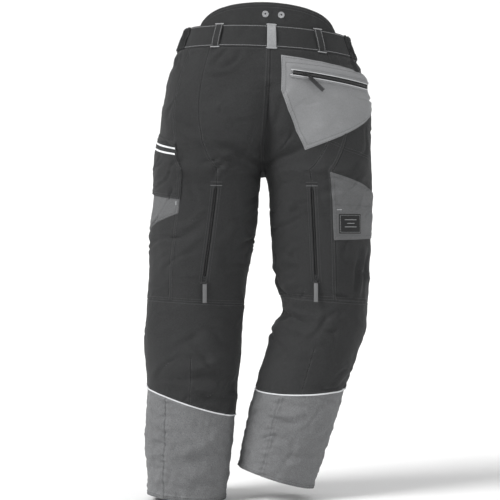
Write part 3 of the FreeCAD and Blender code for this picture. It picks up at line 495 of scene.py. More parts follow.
def zip_arc_distance(rest):
    """Distance from rest points to the arc of the hip zip."""
    flat = rest.reshape(-1, 3)
    best = np.full(len(flat), 1e9)
    for spot in zip_arc(np.linspace(0, 1, 30)):
        best = np.minimum(best, np.linalg.norm(flat - spot, axis=1))
    return best.reshape(rest.shape[:-1])


FIELDS = {side: make_field(side) for side in (RIGHT, LEFT)}


def field_height(side, u, level):
    """Height of the cloth over the skin at any u and level, by even cubic blending."""
    field = FIELDS[side]
    heights = field["height"]
    x = np.clip(u * U_STEPS, 0, U_STEPS - 1e-6)
    y = np.clip((level - field["low"]) / LEVEL_STEP, 0, heights.shape[1] - 1 - 1e-6)
    column, row = np.floor(x).astype(int), np.floor(y).astype(int)
    total = 0.0
    for dx, weight_x in cubic_weights(x - column):
        for dy, weight_y in cubic_weights(y - row):
            picked = heights[
                np.clip(column + dx, 0, heights.shape[0] - 1),
                np.clip(row + dy, 0, heights.shape[1] - 1),
            ]
            total = total + picked * weight_x * weight_y
    return total


def cubic_weights(t):
    """The four grid steps round a place, and the weight of each."""
    return [
        (-1, -0.5 * t + t ** 2 - 0.5 * t ** 3),
        (0, 1 - 2.5 * t ** 2 + 1.5 * t ** 3),
        (1, 0.5 * t + 2 * t ** 2 - 1.5 * t ** 3),
        (2, -0.5 * t ** 2 + 0.5 * t ** 3),
    ]


def cloth(side, u, level, offset=0.0):
    """Points of the folded cloth, at some distance outwards from it.

    Close to the centre seams the folds keep to the plane between the two sides.
    """
    u, level, offset = np.broadcast_arrays(
        np.asarray(u, float), np.asarray(level, float), np.asarray(offset, float)
    )
    normal = skin_normal(side, u, level)
    point = skin_point(side, u, level)
    free = np.clip(np.minimum(u, 1 - u) / 0.03, 0, 1)
    apart = np.clip((CROTCH - level) / 7.0, 0, 1)
    sideways = np.maximum(ease(free), apart)
    fold = normal * np.stack([sideways, np.ones_like(free), np.ones_like(free)], -1)
    lift = field_height(side, u, level)
    return point + fold * lift[..., None] + normal * offset[..., None]


def back_cloth(reach, level, offset=0.0):
    """The cloth counted from centre back: above 0 on the right, below 0 on the left."""
    reach, level, offset = np.broadcast_arrays(
        np.asarray(reach, float), np.asarray(level, float), np.asarray(offset, float)
    )
    right = cloth(RIGHT, 1 - np.abs(reach), level, offset)
    left = cloth(LEFT, 1 - np.abs(reach), level, offset)
    return np.where((reach >= 0)[..., None], right, left)


# ---------------------------------------------------------------- materials

def node_tools(material):
    """A function that adds a node with its inputs set or linked, and the links."""
    nodes = material.node_tree.nodes
    links = material.node_tree.links

    def add(kind, inputs=(), **settings):
        node = nodes.new(kind)
        for name, value in settings.items():
            setattr(node, name, value)
        for key, value in dict(inputs).items():
            if isinstance(value, bpy.types.NodeSocket):
                links.new(value, node.inputs[key])
            else:
                node.inputs[key].default_value = value
        return node

    return add, links


def new_material(name):
    """A material with nodes, and its shader."""
    material = bpy.data.materials.new(name)
    material.use_nodes = True
    return material, material.node_tree.nodes["Principled BSDF"]


def grey(level):
    """Linear colour of a screen grey from 0 to 255, a touch cool."""
    value = level / 255
    linear = value / 12.92 if value <= 0.04045 else ((value + 0.055) / 1.055) ** 2.4
    return (linear * 0.985, linear, linear * 1.02, 1.0)


def fabric(name, shade, thread=0.9, weave_depth=0.25, melange=0.16, sheen=0.05):
    """Woven cloth: crossing threads, flecks of lighter yarn, soft shade changes, and edges lightened
    partly as wear and partly as a painted highlight.
    """
    material, shader = new_material(name)
    add, links = node_tools(material)
    uv = add("ShaderNodeUVMap", uv_map="cloth")
    scale = 0.314 / (thread * MM)
    warp = add(
        "ShaderNodeTexWave", {"Vector": uv.outputs[0], "Scale": scale, "Distortion": 0.6},
        bands_direction="X",
    )
    weft = add(
        "ShaderNodeTexWave", {"Vector": uv.outputs[0], "Scale": scale * 1.13, "Distortion": 0.6},
        bands_direction="Y",
    )
    place = add("ShaderNodeTexCoord").outputs["Object"]

    def noise(scale, detail, roughness):
        inputs = {"Vector": place, "Scale": scale, "Detail": detail, "Roughness": roughness}
        return add("ShaderNodeTexNoise", inputs).outputs["Fac"]

    def product(first, second):
        return add("ShaderNodeMath", {0: first, 1: second}, operation="MULTIPLY").outputs[0]

    threads = product(warp.outputs["Fac"], weft.outputs["Fac"])
    fleck = noise(620.0, 2.0, 0.7)
    cloud = noise(7.0, 4.0, 0.6)
    crease = noise(55.0, 5.0, 0.62)
    base = grey(shade)
    light = tuple(min(c * (1 + melange * 2.2), 1.0) for c in base[:3]) + (1.0,)
    dark = tuple(c * (1 - melange * 1.4) for c in base[:3]) + (1.0,)
    yarn = add("ShaderNodeMapRange", {"Value": fleck, "From Min": 0.34, "From Max": 0.68})
    first = add("ShaderNodeMix", {"Factor": yarn.outputs[0], "A": dark, "B": light}, data_type="RGBA")
    shade_change = add(
        "ShaderNodeMapRange",
        {"Value": cloud, "From Min": 0.3, "From Max": 0.7, "To Min": 0.9, "To Max": 1.08},
    )
    thread_change = add("ShaderNodeMapRange", {"Value": threads, "To Min": 0.86, "To Max": 1.12})
    toned = add(
        "ShaderNodeVectorMath",
        {
            0: first.outputs["Result"],
            "Scale": product(shade_change.outputs[0], thread_change.outputs[0]),
        },
        operation="SCALE",
    )
    # Lighter colour near seam edges and along fell ridges: partly wear, partly a painted highlight
    # where these raised edges catch the light.
    rim = add("ShaderNodeAttribute", attribute_name="rim")
    wear_and_highlight = product(product(rim.outputs["Fac"], crease), 0.3)
    worn_and_highlit = tuple(min(c * 1.7 + 0.01, 1.0) for c in base[:3]) + (1.0,)
    final = add(
        "ShaderNodeMix", {"Factor": wear_and_highlight, "A": toned.outputs[0], "B": worn_and_highlit}, data_type="RGBA",
    )
    weave_bump = add(
        "ShaderNodeBump", {"Height": threads, "Strength": weave_depth, "Distance": 0.35 * MM},
    )
    crease_bump = add(
        "ShaderNodeBump",
        {"Height": crease, "Strength": 0.35, "Distance": 2.2 * MM,
         "Normal": weave_bump.outputs[0]},
    )
    links.new(final.outputs["Result"], shader.inputs["Base Color"])
    links.new(crease_bump.outputs[0], shader.inputs["Normal"])
    shader.inputs["Roughness"].default_value = 0.88
    shader.inputs["Sheen Weight"].default_value = sheen
    shader.inputs["Sheen Roughness"].default_value = 0.45
    shader.inputs["Specular IOR Level"].default_value = 0.25
    return material


def solid_material(name, shade, metallic, rough, grain=180.0, bump=0.2):
    """Metal, moulded plastic or thread, with fine scratches and an uneven finish."""
    material, shader = new_material(name)
    add, links = node_tools(material)
    place = add("ShaderNodeTexCoord")
    noise = add(
        "ShaderNodeTexNoise",
        {"Vector": place.outputs["Object"], "Scale": grain, "Detail": 4.0, "Roughness": 0.6},
    )
    base = grey(shade)
    dark = tuple(c * 0.75 for c in base[:3]) + (1.0,)
    light = tuple(min(c * 1.2, 1.0) for c in base[:3]) + (1.0,)
    mix = add(
        "ShaderNodeMix", {"Factor": noise.outputs["Fac"], "A": dark, "B": light}, data_type="RGBA",
    )
    least, most = max(rough - 0.12, 0.05), min(rough + 0.12, 1)
    gloss = add(
        "ShaderNodeMapRange", {"Value": noise.outputs["Fac"], "To Min": least, "To Max": most},
    )
    dents = add(
        "ShaderNodeBump", {"Height": noise.outputs["Fac"], "Strength": bump, "Distance": 0.15 * MM},
    )
    links.new(mix.outputs["Result"], shader.inputs["Base Color"])
    links.new(gloss.outputs[0], shader.inputs["Roughness"])
    links.new(dents.outputs[0], shader.inputs["Normal"])
    shader.inputs["Metallic"].default_value = metallic
    return material


MATERIALS = {
    "outer": fabric("outer_cloth", 50),
    "cuff": fabric("cuff_cloth", 113, thread=1.3, weave_depth=0.45, melange=0.2),
    "pocket": fabric("pocket_cloth", 141, thread=0.8, melange=0.08),
    "grey": fabric("grey_cloth", 101, thread=0.8, melange=0.14),
    "lining": fabric("lining_cloth", 84, thread=1.6, weave_depth=0.6, melange=0.1),
    "pad": fabric("pad_cloth", 200, thread=3.0, weave_depth=0.5, melange=0.05),
    "loop": fabric("loop_cloth", 158, thread=1.1, weave_depth=0.6, melange=0.08),
    "elastic": fabric("elastic_cloth", 50, thread=1.4, weave_depth=0.6),
    "label": fabric("label_cloth", 46, thread=0.6, melange=0.05),
    "tape": fabric("zip_tape", 40, thread=0.7, weave_depth=0.5, melange=0.1, sheen=0.05),
    "reflective": solid_material("reflective_tape", 232, 0.0, 0.35, 2200.0, 0.5),
    "piping": fabric("piping_cloth", 232, thread=0.7, weave_depth=0.4, melange=0.03),
    "thread": solid_material("dark_thread", 74, 0.0, 0.7, 3000.0, 0.4),
    "light_thread": solid_material("light_thread", 168, 0.0, 0.65, 3000.0, 0.4),
    "grey_thread": solid_material("grey_thread", 118, 0.0, 0.65, 3000.0, 0.4),
    "coil": solid_material("zip_coil", 48, 0.0, 0.42, 900.0, 0.2),
    "metal": solid_material("zip_metal", 74, 1.0, 0.3, 420.0, 0.25),
    "stud": solid_material("stud_metal", 214, 1.0, 0.24, 300.0, 0.15),
    "button": solid_material("button_metal", 108, 1.0, 0.36, 300.0, 0.2),
    "grip": solid_material("pull_grip", 104, 0.0, 0.5, 260.0, 0.3),
}

# ---------------------------------------------------------------- meshes

def make_object(name, points, faces, materials):
    """A mesh object from points in millimetres."""
    mesh = bpy.data.meshes.new(name)
    mesh.from_pydata((np.asarray(points) * MM).tolist(), [], faces)
    mesh.polygons.foreach_set("use_smooth", [True] * len(mesh.polygons))
    mesh.set_sharp_from_angle(angle=SHARP_ANGLE)
    for key in materials:
        mesh.materials.append(MATERIALS[key])
    thing = bpy.data.objects.new(name, mesh)
    bpy.context.scene.collection.objects.link(thing)
    return thing


def knee_blend(side):
    """Start and end of the knee's bend, square to the seams above and below the knee."""
    lean = math.radians(KNEE_LEAN[side])
    way = -np.array([math.sin(lean), 0, math.cos(lean)])
    quarters = np.array([0, 0.25, 0.5, 0.75])
    top = skin_point(side, quarters, KNEE_TOP[side])
    low = skin_point(side, quarters, KNEE_LOW[side])
    start = (top @ way).max() + 1.0
    end = (low @ way).min() - 1.0
    middle = (top.mean(0) + low.mean(0)) / 2
    base = middle - way * (middle @ way)
    return base + way * start, base + way * end


def flap_blend():
    """Start and end of the flap's bend, square to its sewn top edge."""
    front = skin_point(LEFT, 0.352, -218.0)
    back = skin_point(LEFT, 0.672, -256.0)
    way = np.array([0.0, back[2] - front[2], front[1] - back[1]])
    way = way / np.linalg.norm(way)
    if way[2] > 0:
        way = -way
    start = max(front @ way, back @ way) + 1.0
    middle = (front + back) / 2
    base = middle - way * (middle @ way)
    return base + way * start, base + way * (start + 16.0)


BLENDS = {
    "right_knee": ("seat", "right_shin", *knee_blend(RIGHT)),
    "left_knee": ("seat", "left_shin", *knee_blend(LEFT)),
    "flap": ("seat", "thigh_flap", *flap_blend()),
}


def settle(thing, place, nodes=()):
    """Ride a body, or for a piece across a joint keep its points fixed in world space; hide the CAD
    nodes replaced.
    """
    if place in BLENDS:
        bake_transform(thing)
    else:
        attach(thing, place)
    if nodes:
        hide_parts(*nodes)
    return thing


def steps_for(length, step, fine):
    """Shares along a length, close together near both ends."""
    near = [d for d in fine if d < length / 2]
    start = near[-1] if near else 0.0
    count = max(int(round((length - 2 * start) / step)), 1)
    middle = np.linspace(start, length - start, count + 1)[1:-1]
    return np.concatenate([near, middle, length - np.array(near[::-1])]) / length


FINE = [0.0, 0.5, 1.2, 2.4, 4.0, 6.5, 8.6, 9.4, 10.4, 12.5]


def closed_sheet(rows, columns):
    """Quads of a grid of points, and all faces of the closed sheet it makes with a copy."""
    total = rows * columns
    index = np.arange(total).reshape(rows, columns)
    quads = np.stack([index[:-1, :-1], index[1:, :-1], index[1:, 1:], index[:-1, 1:]], -1)
    quads = quads.reshape(-1, 4)
    border = np.concatenate([index[:, 0], index[-1, 1:], index[-2::-1, -1], index[0, -2:0:-1]])
    following = np.roll(border, -1)
    walls = np.stack([border, border + total, following + total, following], -1)
    return quads, np.concatenate([quads, quads[:, ::-1] + total, walls])


def map_cloth(mesh, flat_places):
    """Map both faces of a closed sheet by the flat places of its points, in millimetres."""
    uv = np.concatenate([flat_places.reshape(-1, 2) * MM] * 2)
    loops = np.zeros(len(mesh.loops), int)
    mesh.loops.foreach_get("vertex_index", loops)
    mesh.uv_layers.new(name="cloth").data.foreach_set("uv", uv[loops].ravel())


def sheet_mesh(name, place, thick, key, columns, rows, rims="lrbt", dip=1.1, fell="",
               inner_key=None, raise_by=None):
    """A closed sheet of cloth. place(a, b, offset) gives its points; a and b run from 0 to 1.

    rims names the edges (left, right, bottom, top) that turn down into a seam, and fell the
    edges that carry a raised, stitched allowance 9 mm wide.
    """
    a_grid, b_grid = np.meshgrid(columns, rows, indexing="ij")
    flat = place(a_grid, b_grid, np.zeros_like(a_grid))
    middle_row = flat[:, flat.shape[1] // 2]
    middle_column = flat[flat.shape[0] // 2]
    a_run, b_run = np.meshgrid(run_along(middle_row), run_along(middle_column), indexing="ij")
    edge_gaps = {"l": a_run, "r": a_run[-1, 0] - a_run, "b": b_run, "t": b_run[0, -1] - b_run}
    offset = np.zeros_like(a_grid)
    # rim marks the turned seam edges and fell ridges, where the cloth materials lighten the colour,
    # partly as wear and partly as a painted highlight.
    rim = np.zeros_like(a_grid)
    for edge, gap in edge_gaps.items():
        if edge in rims:
            offset -= dip * np.exp(-(gap / 1.3) ** 2)
            rim = np.maximum(rim, np.exp(-((gap - 2.0) / 2.6) ** 2))
        if edge in fell:
            ramp = np.clip((10.2 - gap) / 1.4, 0, 1)
            offset += 0.75 * ease(ramp)
            rim = np.maximum(rim, np.exp(-((gap - 9.2) / 1.6) ** 2))
    if raise_by is not None:
        offset += raise_by(flat)
    outside = place(a_grid, b_grid, offset)
    inside = place(a_grid, b_grid, offset * 0.35 - thick)
    quads, faces = closed_sheet(*a_grid.shape)
    normal = np.cross(outside[1, 0] - outside[0, 0], outside[0, 1] - outside[0, 0])
    if normal @ (outside[0, 0] - inside[0, 0]) < 0:
        faces = faces[:, ::-1]
    points = np.concatenate([outside.reshape(-1, 3), inside.reshape(-1, 3)])
    keys = [key] if inner_key is None else [key, inner_key]
    thing = make_object(name, points, faces.tolist(), keys)
    mesh = thing.data
    if inner_key is not None:
        which = np.zeros(len(faces), int)
        which[len(quads):2 * len(quads)] = 1
        mesh.polygons.foreach_set("material_index", which)
    map_cloth(mesh, np.stack([a_run, b_run], -1))
    attribute = mesh.attributes.new("rim", "FLOAT", "POINT")
    attribute.data.foreach_set("value", np.concatenate([rim.ravel(), rim.ravel()]))
    return thing


def edges_at(value):
    """A rule that gives an edge's place, from a number or a rule."""
    return value if callable(value) else (lambda level: np.full(np.shape(level), float(value)))


def panel(name, side, u_edges, level_edges, place_key, key="outer", nodes=None, step=5.0,
          rims="lrbt", fell="", thick=1.6, inner_key="lining", base=0.0, raise_by=None, dip=1.1):
    """A panel of one side between two seams in u and two in level, each a number or a rule."""
    low_u, high_u = (edges_at(edge) for edge in u_edges)
    bottom, top = (edges_at(edge) for edge in level_edges)

    def place(a, b, offset):
        u = low_u(bottom(0.75)) + 0 * a
        for _ in range(3):
            level = bottom(u) + (top(u) - bottom(u)) * b
            u = low_u(level) + (high_u(level) - low_u(level)) * a
        return cloth(side, u, level, offset + base)

    middle = place(np.array([0.5, 0.5]), np.array([0.0, 1.0]), 0.0)
    across = place(np.linspace(0, 1, 12), np.full(12, 0.5), np.zeros(12))
    width = run_along(across)[-1]
    tall = np.linalg.norm(middle[1] - middle[0])
    thing = sheet_mesh(
        name, place, thick, key, steps_for(width, step, FINE), steps_for(tall, step, FINE),
        rims, dip, fell, inner_key, raise_by,
    )
    return settle(thing, place_key, [name] if nodes is None else nodes)


# ---------------------------------------------------------------- small repeated pieces

def capsule_template():
    """A short fat thread along X: points for length 1 and radius 1, and its faces."""
    sides = 5
    points = [(-0.5, 0, 0)]
    for x, radius in ((-0.36, 0.8), (0.0, 1.0), (0.36, 0.8)):
        for k in range(sides):
            angle = 2 * math.pi * k / sides
            points.append((x, radius * math.cos(angle), radius * math.sin(angle)))
    points.append((0.5, 0, 0))
    faces = []
    for k in range(sides):
        following = (k + 1) % sides
        faces.append((0, 1 + following, 1 + k))
        for ring in range(2):
            a = 1 + ring * sides
            faces.append((a + k, a + following, a + sides + following, a + sides + k))
        a = 1 + 2 * sides
        faces.append((a + k, a + following, a + sides))
    return np.array(points, float), faces


THREAD_POINTS, THREAD_FACES = capsule_template()
stitches = {}


def add_threads(group, key, centres, ways, normals, length, radius):
    """Queue threads, which lie along ways, for one mesh for each group and material."""
    ways = unit(ways)
    sides = unit(np.cross(normals, ways))
    ups = np.cross(ways, sides)
    shape = THREAD_POINTS * np.array([length, radius, radius * 0.75])
    points = (
        centres[:, None]
        + ways[:, None] * shape[None, :, 0:1]
        + sides[:, None] * shape[None, :, 1:2]
        + ups[:, None] * shape[None, :, 2:3]
    )
    stitches.setdefault((group, key), []).append(points.reshape(-1, 3))


def flush_threads():
    """Make one mesh of each queued group of threads."""
    size = len(THREAD_POINTS)
    for (group, key), parts in stitches.items():
        points = np.concatenate(parts)
        faces = []
        for first in range(0, len(points), size):
            faces.extend([tuple(first + k for k in face) for face in THREAD_FACES])
        thing = make_object(f"{group}_{key}_stitches", points, faces, [key])
        settle(thing, group)


def stitch_line(group, surface, line, offset=ON_CLOTH, key="thread", length=2.9, gap=0.9,
                radius=0.42):
    """Stitches along a line of (first, level) points of a surface such as cloth or back_cloth."""
    line = np.asarray(line, float)
    path = surface(line[:, 0], line[:, 1], offset)
    run = run_along(path)
    count = int(run[-1] / (length + gap))
    if count < 1:
        return
    centre_run = (np.arange(count) + 0.5) * run[-1] / count
    spread = length / 2

    def at(distance, rise=0.0):
        first = np.interp(distance, run, line[:, 0])
        level = np.interp(distance, run, line[:, 1])
        return surface(first, level, offset + rise)

    centres = at(centre_run)
    ways = at(np.minimum(centre_run + spread, run[-1])) - at(np.maximum(centre_run - spread, 0))
    normals = unit(at(centre_run, 1.0) - centres)
    add_threads(group, key, centres, ways, normals, length, radius)


def on_side(side):
    """The cloth of one side as a surface for stitches."""
    return lambda u, level, offset=0.0: cloth(side, u, level, offset)


def speed(side, u, level):
    """Millimetres round the leg for one unit of u."""
    step = 0.004
    gap = skin_point(side, u + step, level) - skin_point(side, u - step, level)
    return np.linalg.norm(gap, axis=-1) / (2 * step)


def seam_stitches(group, side, u, levels, gaps, offset=ON_FELL):
    """Rows of stitches beside a lengthwise seam; gaps are millimetres towards rising u."""
    span = np.linspace(levels[0], levels[1], max(int(abs(levels[1] - levels[0]) / 6), 4))
    u_line = edges_at(u)(span)
    for gap in gaps:
        line = np.stack([u_line + gap / speed(side, u_line, span), span], 1)
        stitch_line(group, on_side(side), line, offset)


def ring_stitches(group, side, level_rule, u_range, gaps, key="thread", offset=ON_FELL, **more):
    """Rows of stitches beside a seam that runs round the leg; gaps are millimetres upwards."""
    span = np.linspace(u_range[0], u_range[1], max(int(abs(u_range[1] - u_range[0]) * 120), 6))
    for gap in gaps:
        line = np.stack([span, edges_at(level_rule)(span) + gap], 1)
        stitch_line(group, on_side(side), line, offset, key, **more)


def bar_tack(group, surface, start, end, tall=2.6, key="light_thread", offset=0.6, pitch=0.62):
    """A dense row of upright threads from start to end, both (first, level)."""
    start, end = np.array(start, float), np.array(end, float)
    ends = surface(np.array([start[0], end[0]]), np.array([start[1], end[1]]), 0.0)
    count = max(int(np.linalg.norm(ends[1] - ends[0]) / pitch), 2)
    share = np.linspace(0, 1, count)[:, None]
    line = start + (end - start) * share
    centres = surface(line[:, 0], line[:, 1], offset)
    normals = unit(surface(line[:, 0], line[:, 1], offset + 1.0) - centres)
    along = unit(ends[1] - ends[0])
    ways = np.cross(normals, np.broadcast_to(along, normals.shape))
    add_threads(group, key, centres, ways, normals, tall, pitch * 0.6)


def tube(name, path, radius, key, place_key, nodes=(), sides=10):
    """A round cord along a path of points, closed at both ends."""
    path = np.asarray(path, float)
    ways = unit(np.gradient(path, axis=0))
    sideways = unit(np.cross([0.0, 0.0, 1.0], ways))
    ups = np.cross(ways, sideways)
    angles = np.linspace(0, 2 * np.pi, sides, endpoint=False)
    ring = sideways[:, None] * np.cos(angles)[None, :, None] * radius
    ring = ring + ups[:, None] * np.sin(angles)[None, :, None] * radius
    points = (path[:, None] + ring).reshape(-1, 3)
    faces = []
    for row in range(len(path) - 1):
        for k in range(sides):
            following = (k + 1) % sides
            a, b = row * sides, (row + 1) * sides
            faces.append((a + k, a + following, b + following, b + k))
    faces.append(tuple(range(sides - 1, -1, -1)))
    faces.append(tuple(range(len(points) - sides, len(points))))
    thing = make_object(name, points, faces, [key])
    return settle(thing, place_key, nodes)


def refined(node, key, body, bevel=0.25, segments=3, material_split=None):
    """A CAD piece with its edges rounded, as its own object."""
    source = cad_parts[node]
    mesh = source.data.copy()
    mesh.materials.clear()
    mesh.materials.append(MATERIALS[key])
    thing = bpy.data.objects.new(f"{node}_body", mesh)
    bpy.context.scene.collection.objects.link(thing)
    weld = thing.modifiers.new("weld", "WELD")
    weld.merge_threshold = 0.00002
    soften = thing.modifiers.new("bevel", "BEVEL")
    soften.width = bevel * MM
    soften.segments = segments
    soften.limit_method = "ANGLE"
    soften.angle_limit = math.radians(35)
    evaluated = thing.evaluated_get(bpy.context.evaluated_depsgraph_get())
    thing.data = bpy.data.meshes.new_from_object(evaluated)
    thing.modifiers.clear()
    thing.data.polygons.foreach_set("use_smooth", [True] * len(thing.data.polygons))
    thing.data.set_sharp_from_angle(angle=SHARP_ANGLE)
    if material_split is not None:
        other, limit = material_split
        thing.data.materials.append(MATERIALS[other])
        for polygon in thing.data.polygons:
            if polygon.center.z < limit * MM:
                polygon.material_index = 1
    return settle(thing, body, [node])


# ---------------------------------------------------------------- legs

def vent_edge(side, way):
    """u of a back panel's edge at the vent seam, drawn back by the zip's slot."""
    def rule(level):
        level = np.asarray(level, float)
        inside = np.clip((level - VENT_LOW[side]) / 3.0, 0, 1)
        inside = inside * np.clip((VENT_TOP - level) / 3.0, 0, 1)
        gap = way * (SEAM + VENT_SLOT_HALF * inside)
        return VENT_SEAM + gap / speed(side, np.full(level.shape, VENT_SEAM), level)

    return rule


def make_upper_leg(side):
    """The panels of the seat and thigh and the stitches of their seams."""
    word = WORDS[side]
    levels = (KNEE_TOP[side], WAIST_LOW)
    side_seam = SIDE_SEAM[side]
    panel(f"{word}_front_panel", side, (CENTRE, FRONT_SEAM - HALF_GAP), levels, "seat", fell="r")
    panel(f"{word}_side_panel", side, (FRONT_SEAM + HALF_GAP, side_seam - HALF_GAP), levels, "seat")
    panel(
        f"{word}_back_outer_panel", side, (side_seam + HALF_GAP, vent_edge(side, -1)), levels, "seat",
        fell="l",
    )
    panel(
        f"{word}_back_inner_panel", side, (vent_edge(side, 1), 1 - CENTRE), levels, "seat",
        fell="r" if side == LEFT else "",
    )
    long = (KNEE_TOP[side] + 3, WAIST_LOW - 4)
    seam_stitches("seat", side, FRONT_SEAM, long, (-2.2, -8.2))
    seam_stitches("seat", side, side_seam, long, (2.2, 8.2))
    seam_stitches("seat", side, CENTRE, (-322, KNEE_TOP[side] + 3), (2.0,), offset=ON_CLOTH)
    seam_stitches("seat", side, VENT_SEAM, (VENT_TOP + 12, -222), (-2.2, 2.2), offset=ON_CLOTH)
    if side == LEFT:
        seam_stitches("seat", side, 1 - CENTRE, (-300, WAIST_LOW - 4), (-2.4, -8.4))
        seam_stitches("seat", side, CENTRE, (-300, -200), (2.4, 8.4), offset=ON_CLOTH)
    ring_stitches("seat", side, KNEE_TOP[side], FULL_RING, (2.4, 8.0), offset=ON_CLOTH)
    if side == RIGHT:
        for drop in (0.0, 5.5):
            line = np.array([(0.772, -251.4), (0.7, -268), (0.684, -270.5), (0.553, -287)])
            line[:, 1] -= drop
            stitch_line("seat", on_side(side), line, 0.25)


def make_lower_leg(side):
    """The knee, calf and cuff panels, the piping and the stitches below the knee seam."""
    word = WORDS[side]
    knee = f"{word}_knee"
    shin = f"{word}_shin"
    zone = (KNEE_LOW[side], KNEE_TOP[side])

    def edge(u):
        return cuff_level(side, u)

    shank = (edge, KNEE_LOW[side])
    panel(f"{word}_knee_front", side, (CENTRE, FRONT_SEAM - HALF_GAP), zone, knee, rims="lrt", fell="r")
    panel(f"{word}_knee_back", side, (FRONT_SEAM + HALF_GAP, 1 - CENTRE), zone, knee, rims="lrt")
    panel(
        f"{word}_shin_panel", side, (CENTRE, FRONT_SEAM - HALF_GAP), shank, shin,
        rims="lrb", fell="r",
    )
    panel(
        f"{word}_calf_outer_panel", side, (FRONT_SEAM + HALF_GAP, CALF_SEAM - HALF_GAP), shank, shin,
        rims="lrb",
    )
    panel(
        f"{word}_calf_inner_panel", side, (CALF_SEAM + HALF_GAP, 1 - CENTRE), shank, shin,
        rims="lrb",
    )
    cuff_seam = CUFF_SEAM[side]
    cuff = (HEM[side], edge)
    panel(
        f"{word}_cuff_front", side, (CENTRE, cuff_seam - HALF_GAP), cuff, shin, "cuff",
        rims="lrt", fell="rb", step=4.0,
    )
    panel(
        f"{word}_cuff_back", side, (cuff_seam + HALF_GAP, 1 - CENTRE), cuff, shin, "cuff",
        rims="lrt", fell="b", step=4.0,
    )
    u_line = np.linspace(CENTRE, 1 - CENTRE, 160)
    path = cloth(side, u_line, edge(u_line), 0.9)
    tube(f"{word}_piping_cord", path, 1.7, "piping", shin, [f"{word}_cuff_piping"])
    seam_stitches(knee, side, FRONT_SEAM, (zone[0], zone[1] - 3), (-2.2, -8.2))
    seam_stitches(shin, side, FRONT_SEAM, (CUFF[side][1] + 6, zone[0]), (-2.2, -8.2))
    calf_span = (edge(CALF_SEAM) + 4, zone[0] - 4)
    seam_stitches(shin, side, CALF_SEAM, calf_span, (-1.8, 1.8), offset=ON_CLOTH)
    seam_stitches(shin, side, cuff_seam, (HEM[side] + 3, edge(cuff_seam) - 4), (-2.2, -8.2))
    for rise in (2.6, 7.8):
        ring_stitches(shin, side, HEM[side] + rise, FULL_RING, (0.0,), radius=0.5)
    ring_stitches(shin, side, edge, FULL_RING, (4.5,), offset=ON_CLOTH)
    ring_stitches(knee, side, KNEE_TOP[side], FULL_RING, (-3.0,), offset=ON_CLOTH)


def make_seam_tapes():
    """Bound seam allowances inside the centre seams, the inseams and the crotch."""
    def centre(first_side_u):
        def place(a, b, offset):
            level = CROTCH - 16 + (WAIST_LOW + 14 - CROTCH) * b
            reach = (2 * a - 1) * 0.02
            u = np.abs(reach) if first_side_u == 0 else 1 - np.abs(reach)
            right = cloth(RIGHT, u, level, offset - 2.0)
            left = cloth(LEFT, u, level, offset - 2.0)
            return np.where((reach >= 0)[..., None], right, left)

        return place

    for name, start in (("front", 0), ("back", 1)):
        tape = sheet_mesh(f"{name}_centre_seam_tape", centre(start), 0.8, "lining",
                          np.linspace(0, 1, 13), np.linspace(0, 1, 70), "", 0.0)
        settle(tape, "seat")
    for side in (RIGHT, LEFT):
        knee = (KNEE_LOW[side], KNEE_TOP[side])
        shank = (HEM[side] + 2, KNEE_LOW[side])
        for name, levels, place_key in (
            ("thigh", (KNEE_TOP[side], CROTCH + 6), "seat"),
            ("knee", knee, f"{WORDS[side]}_knee"),
            ("shank", shank, f"{WORDS[side]}_shin"),
        ):
            def inseam(a, b, offset, levels=levels, side=side):
                level = levels[0] + (levels[1] - levels[0]) * b
                reach = (2 * a - 1) * 0.014
                front = cloth(side, np.abs(reach), level, offset - 2.0)
                back = cloth(side, 1 - np.abs(reach), level, offset - 2.0)
                return np.where((reach >= 0)[..., None], front, back)

            tape = sheet_mesh(f"{WORDS[side]}_{name}_seam_tape", inseam, 0.8, "lining",
                              np.linspace(0, 1, 13), np.linspace(0, 1, 50), "", 0.0)
            settle(tape, place_key)


def make_pads(side):
    """The loose protection pads inside the thigh and shin, quilted in long channels."""
    word = WORDS[side]

    def quilting(flat):
        """Height of the quilted channels."""
        return 1.1 * np.abs(np.sin(flat[..., 0] / 26.0)) - 0.5

    for name, edges, levels, body in (
        ("thigh_pad", (0.05, 0.60), (KNEE_TOP[side] + 16, -200), "seat"),
        ("shin_pad", (0.06, 0.44), (HEM[side] + 45, KNEE_LOW[side] - 18), f"{word}_shin"),
    ):
        panel(
            f"{word}_{name}", side, edges, levels, body, "pad", base=-4.2, thick=3.6,
            inner_key=None, raise_by=quilting, dip=2.0, step=9.0,
        )


# ---------------------------------------------------------------- zips

def teeth(centres, ways, normals):
    """Two rows of small coils across a zip, from the middles of its pairs."""
    across = unit(np.cross(normals, ways))
    for shift in (-0.9, 0.9):
        add_threads("seat", "coil", centres + across * shift, across, normals, 2.6, 0.62)


def straight_frame(side):
    """Lower and upper end of a vent zip's line, and its way, outward and across directions."""
    def end(level):
        sink = skin_normal(side, VENT_SEAM, level) * VENT_SINK
        return skin_point(side, VENT_SEAM, level) + sink

    low, high = end(VENT_LOW[side]), end(VENT_TOP)
    up = unit(high - low)
    out = skin_normal(side, VENT_SEAM, (VENT_LOW[side] + VENT_TOP) / 2)
    out = unit(out - up * (out @ up))
    return low, high, up, out, np.cross(out, up)


def strip(name, centres, across, outs, half_width, thick, key, place_key, nodes=()):
    """A flat strip along a line of centres."""
    shares = np.linspace(-1, 1, 7)
    top = centres[:, None] + across[:, None] * (shares * half_width)[None, :, None]
    points = np.concatenate([top, top - outs[:, None] * thick], axis=0).reshape(-1, 3)
    quads, faces = closed_sheet(len(centres), len(shares))
    a, b, c = (points[k] for k in quads[0][:3])
    if np.cross(b - a, c - a) @ outs[0] < 0:
        faces = faces[:, ::-1]
    thing = make_object(name, points, faces.tolist(), [key])
    run, sideways = np.meshgrid(run_along(centres), shares * half_width, indexing="ij")
    map_cloth(thing.data, np.stack([sideways, run], -1))
    thing.data.attributes.new("rim", "FLOAT", "POINT")
    return settle(thing, place_key, nodes)


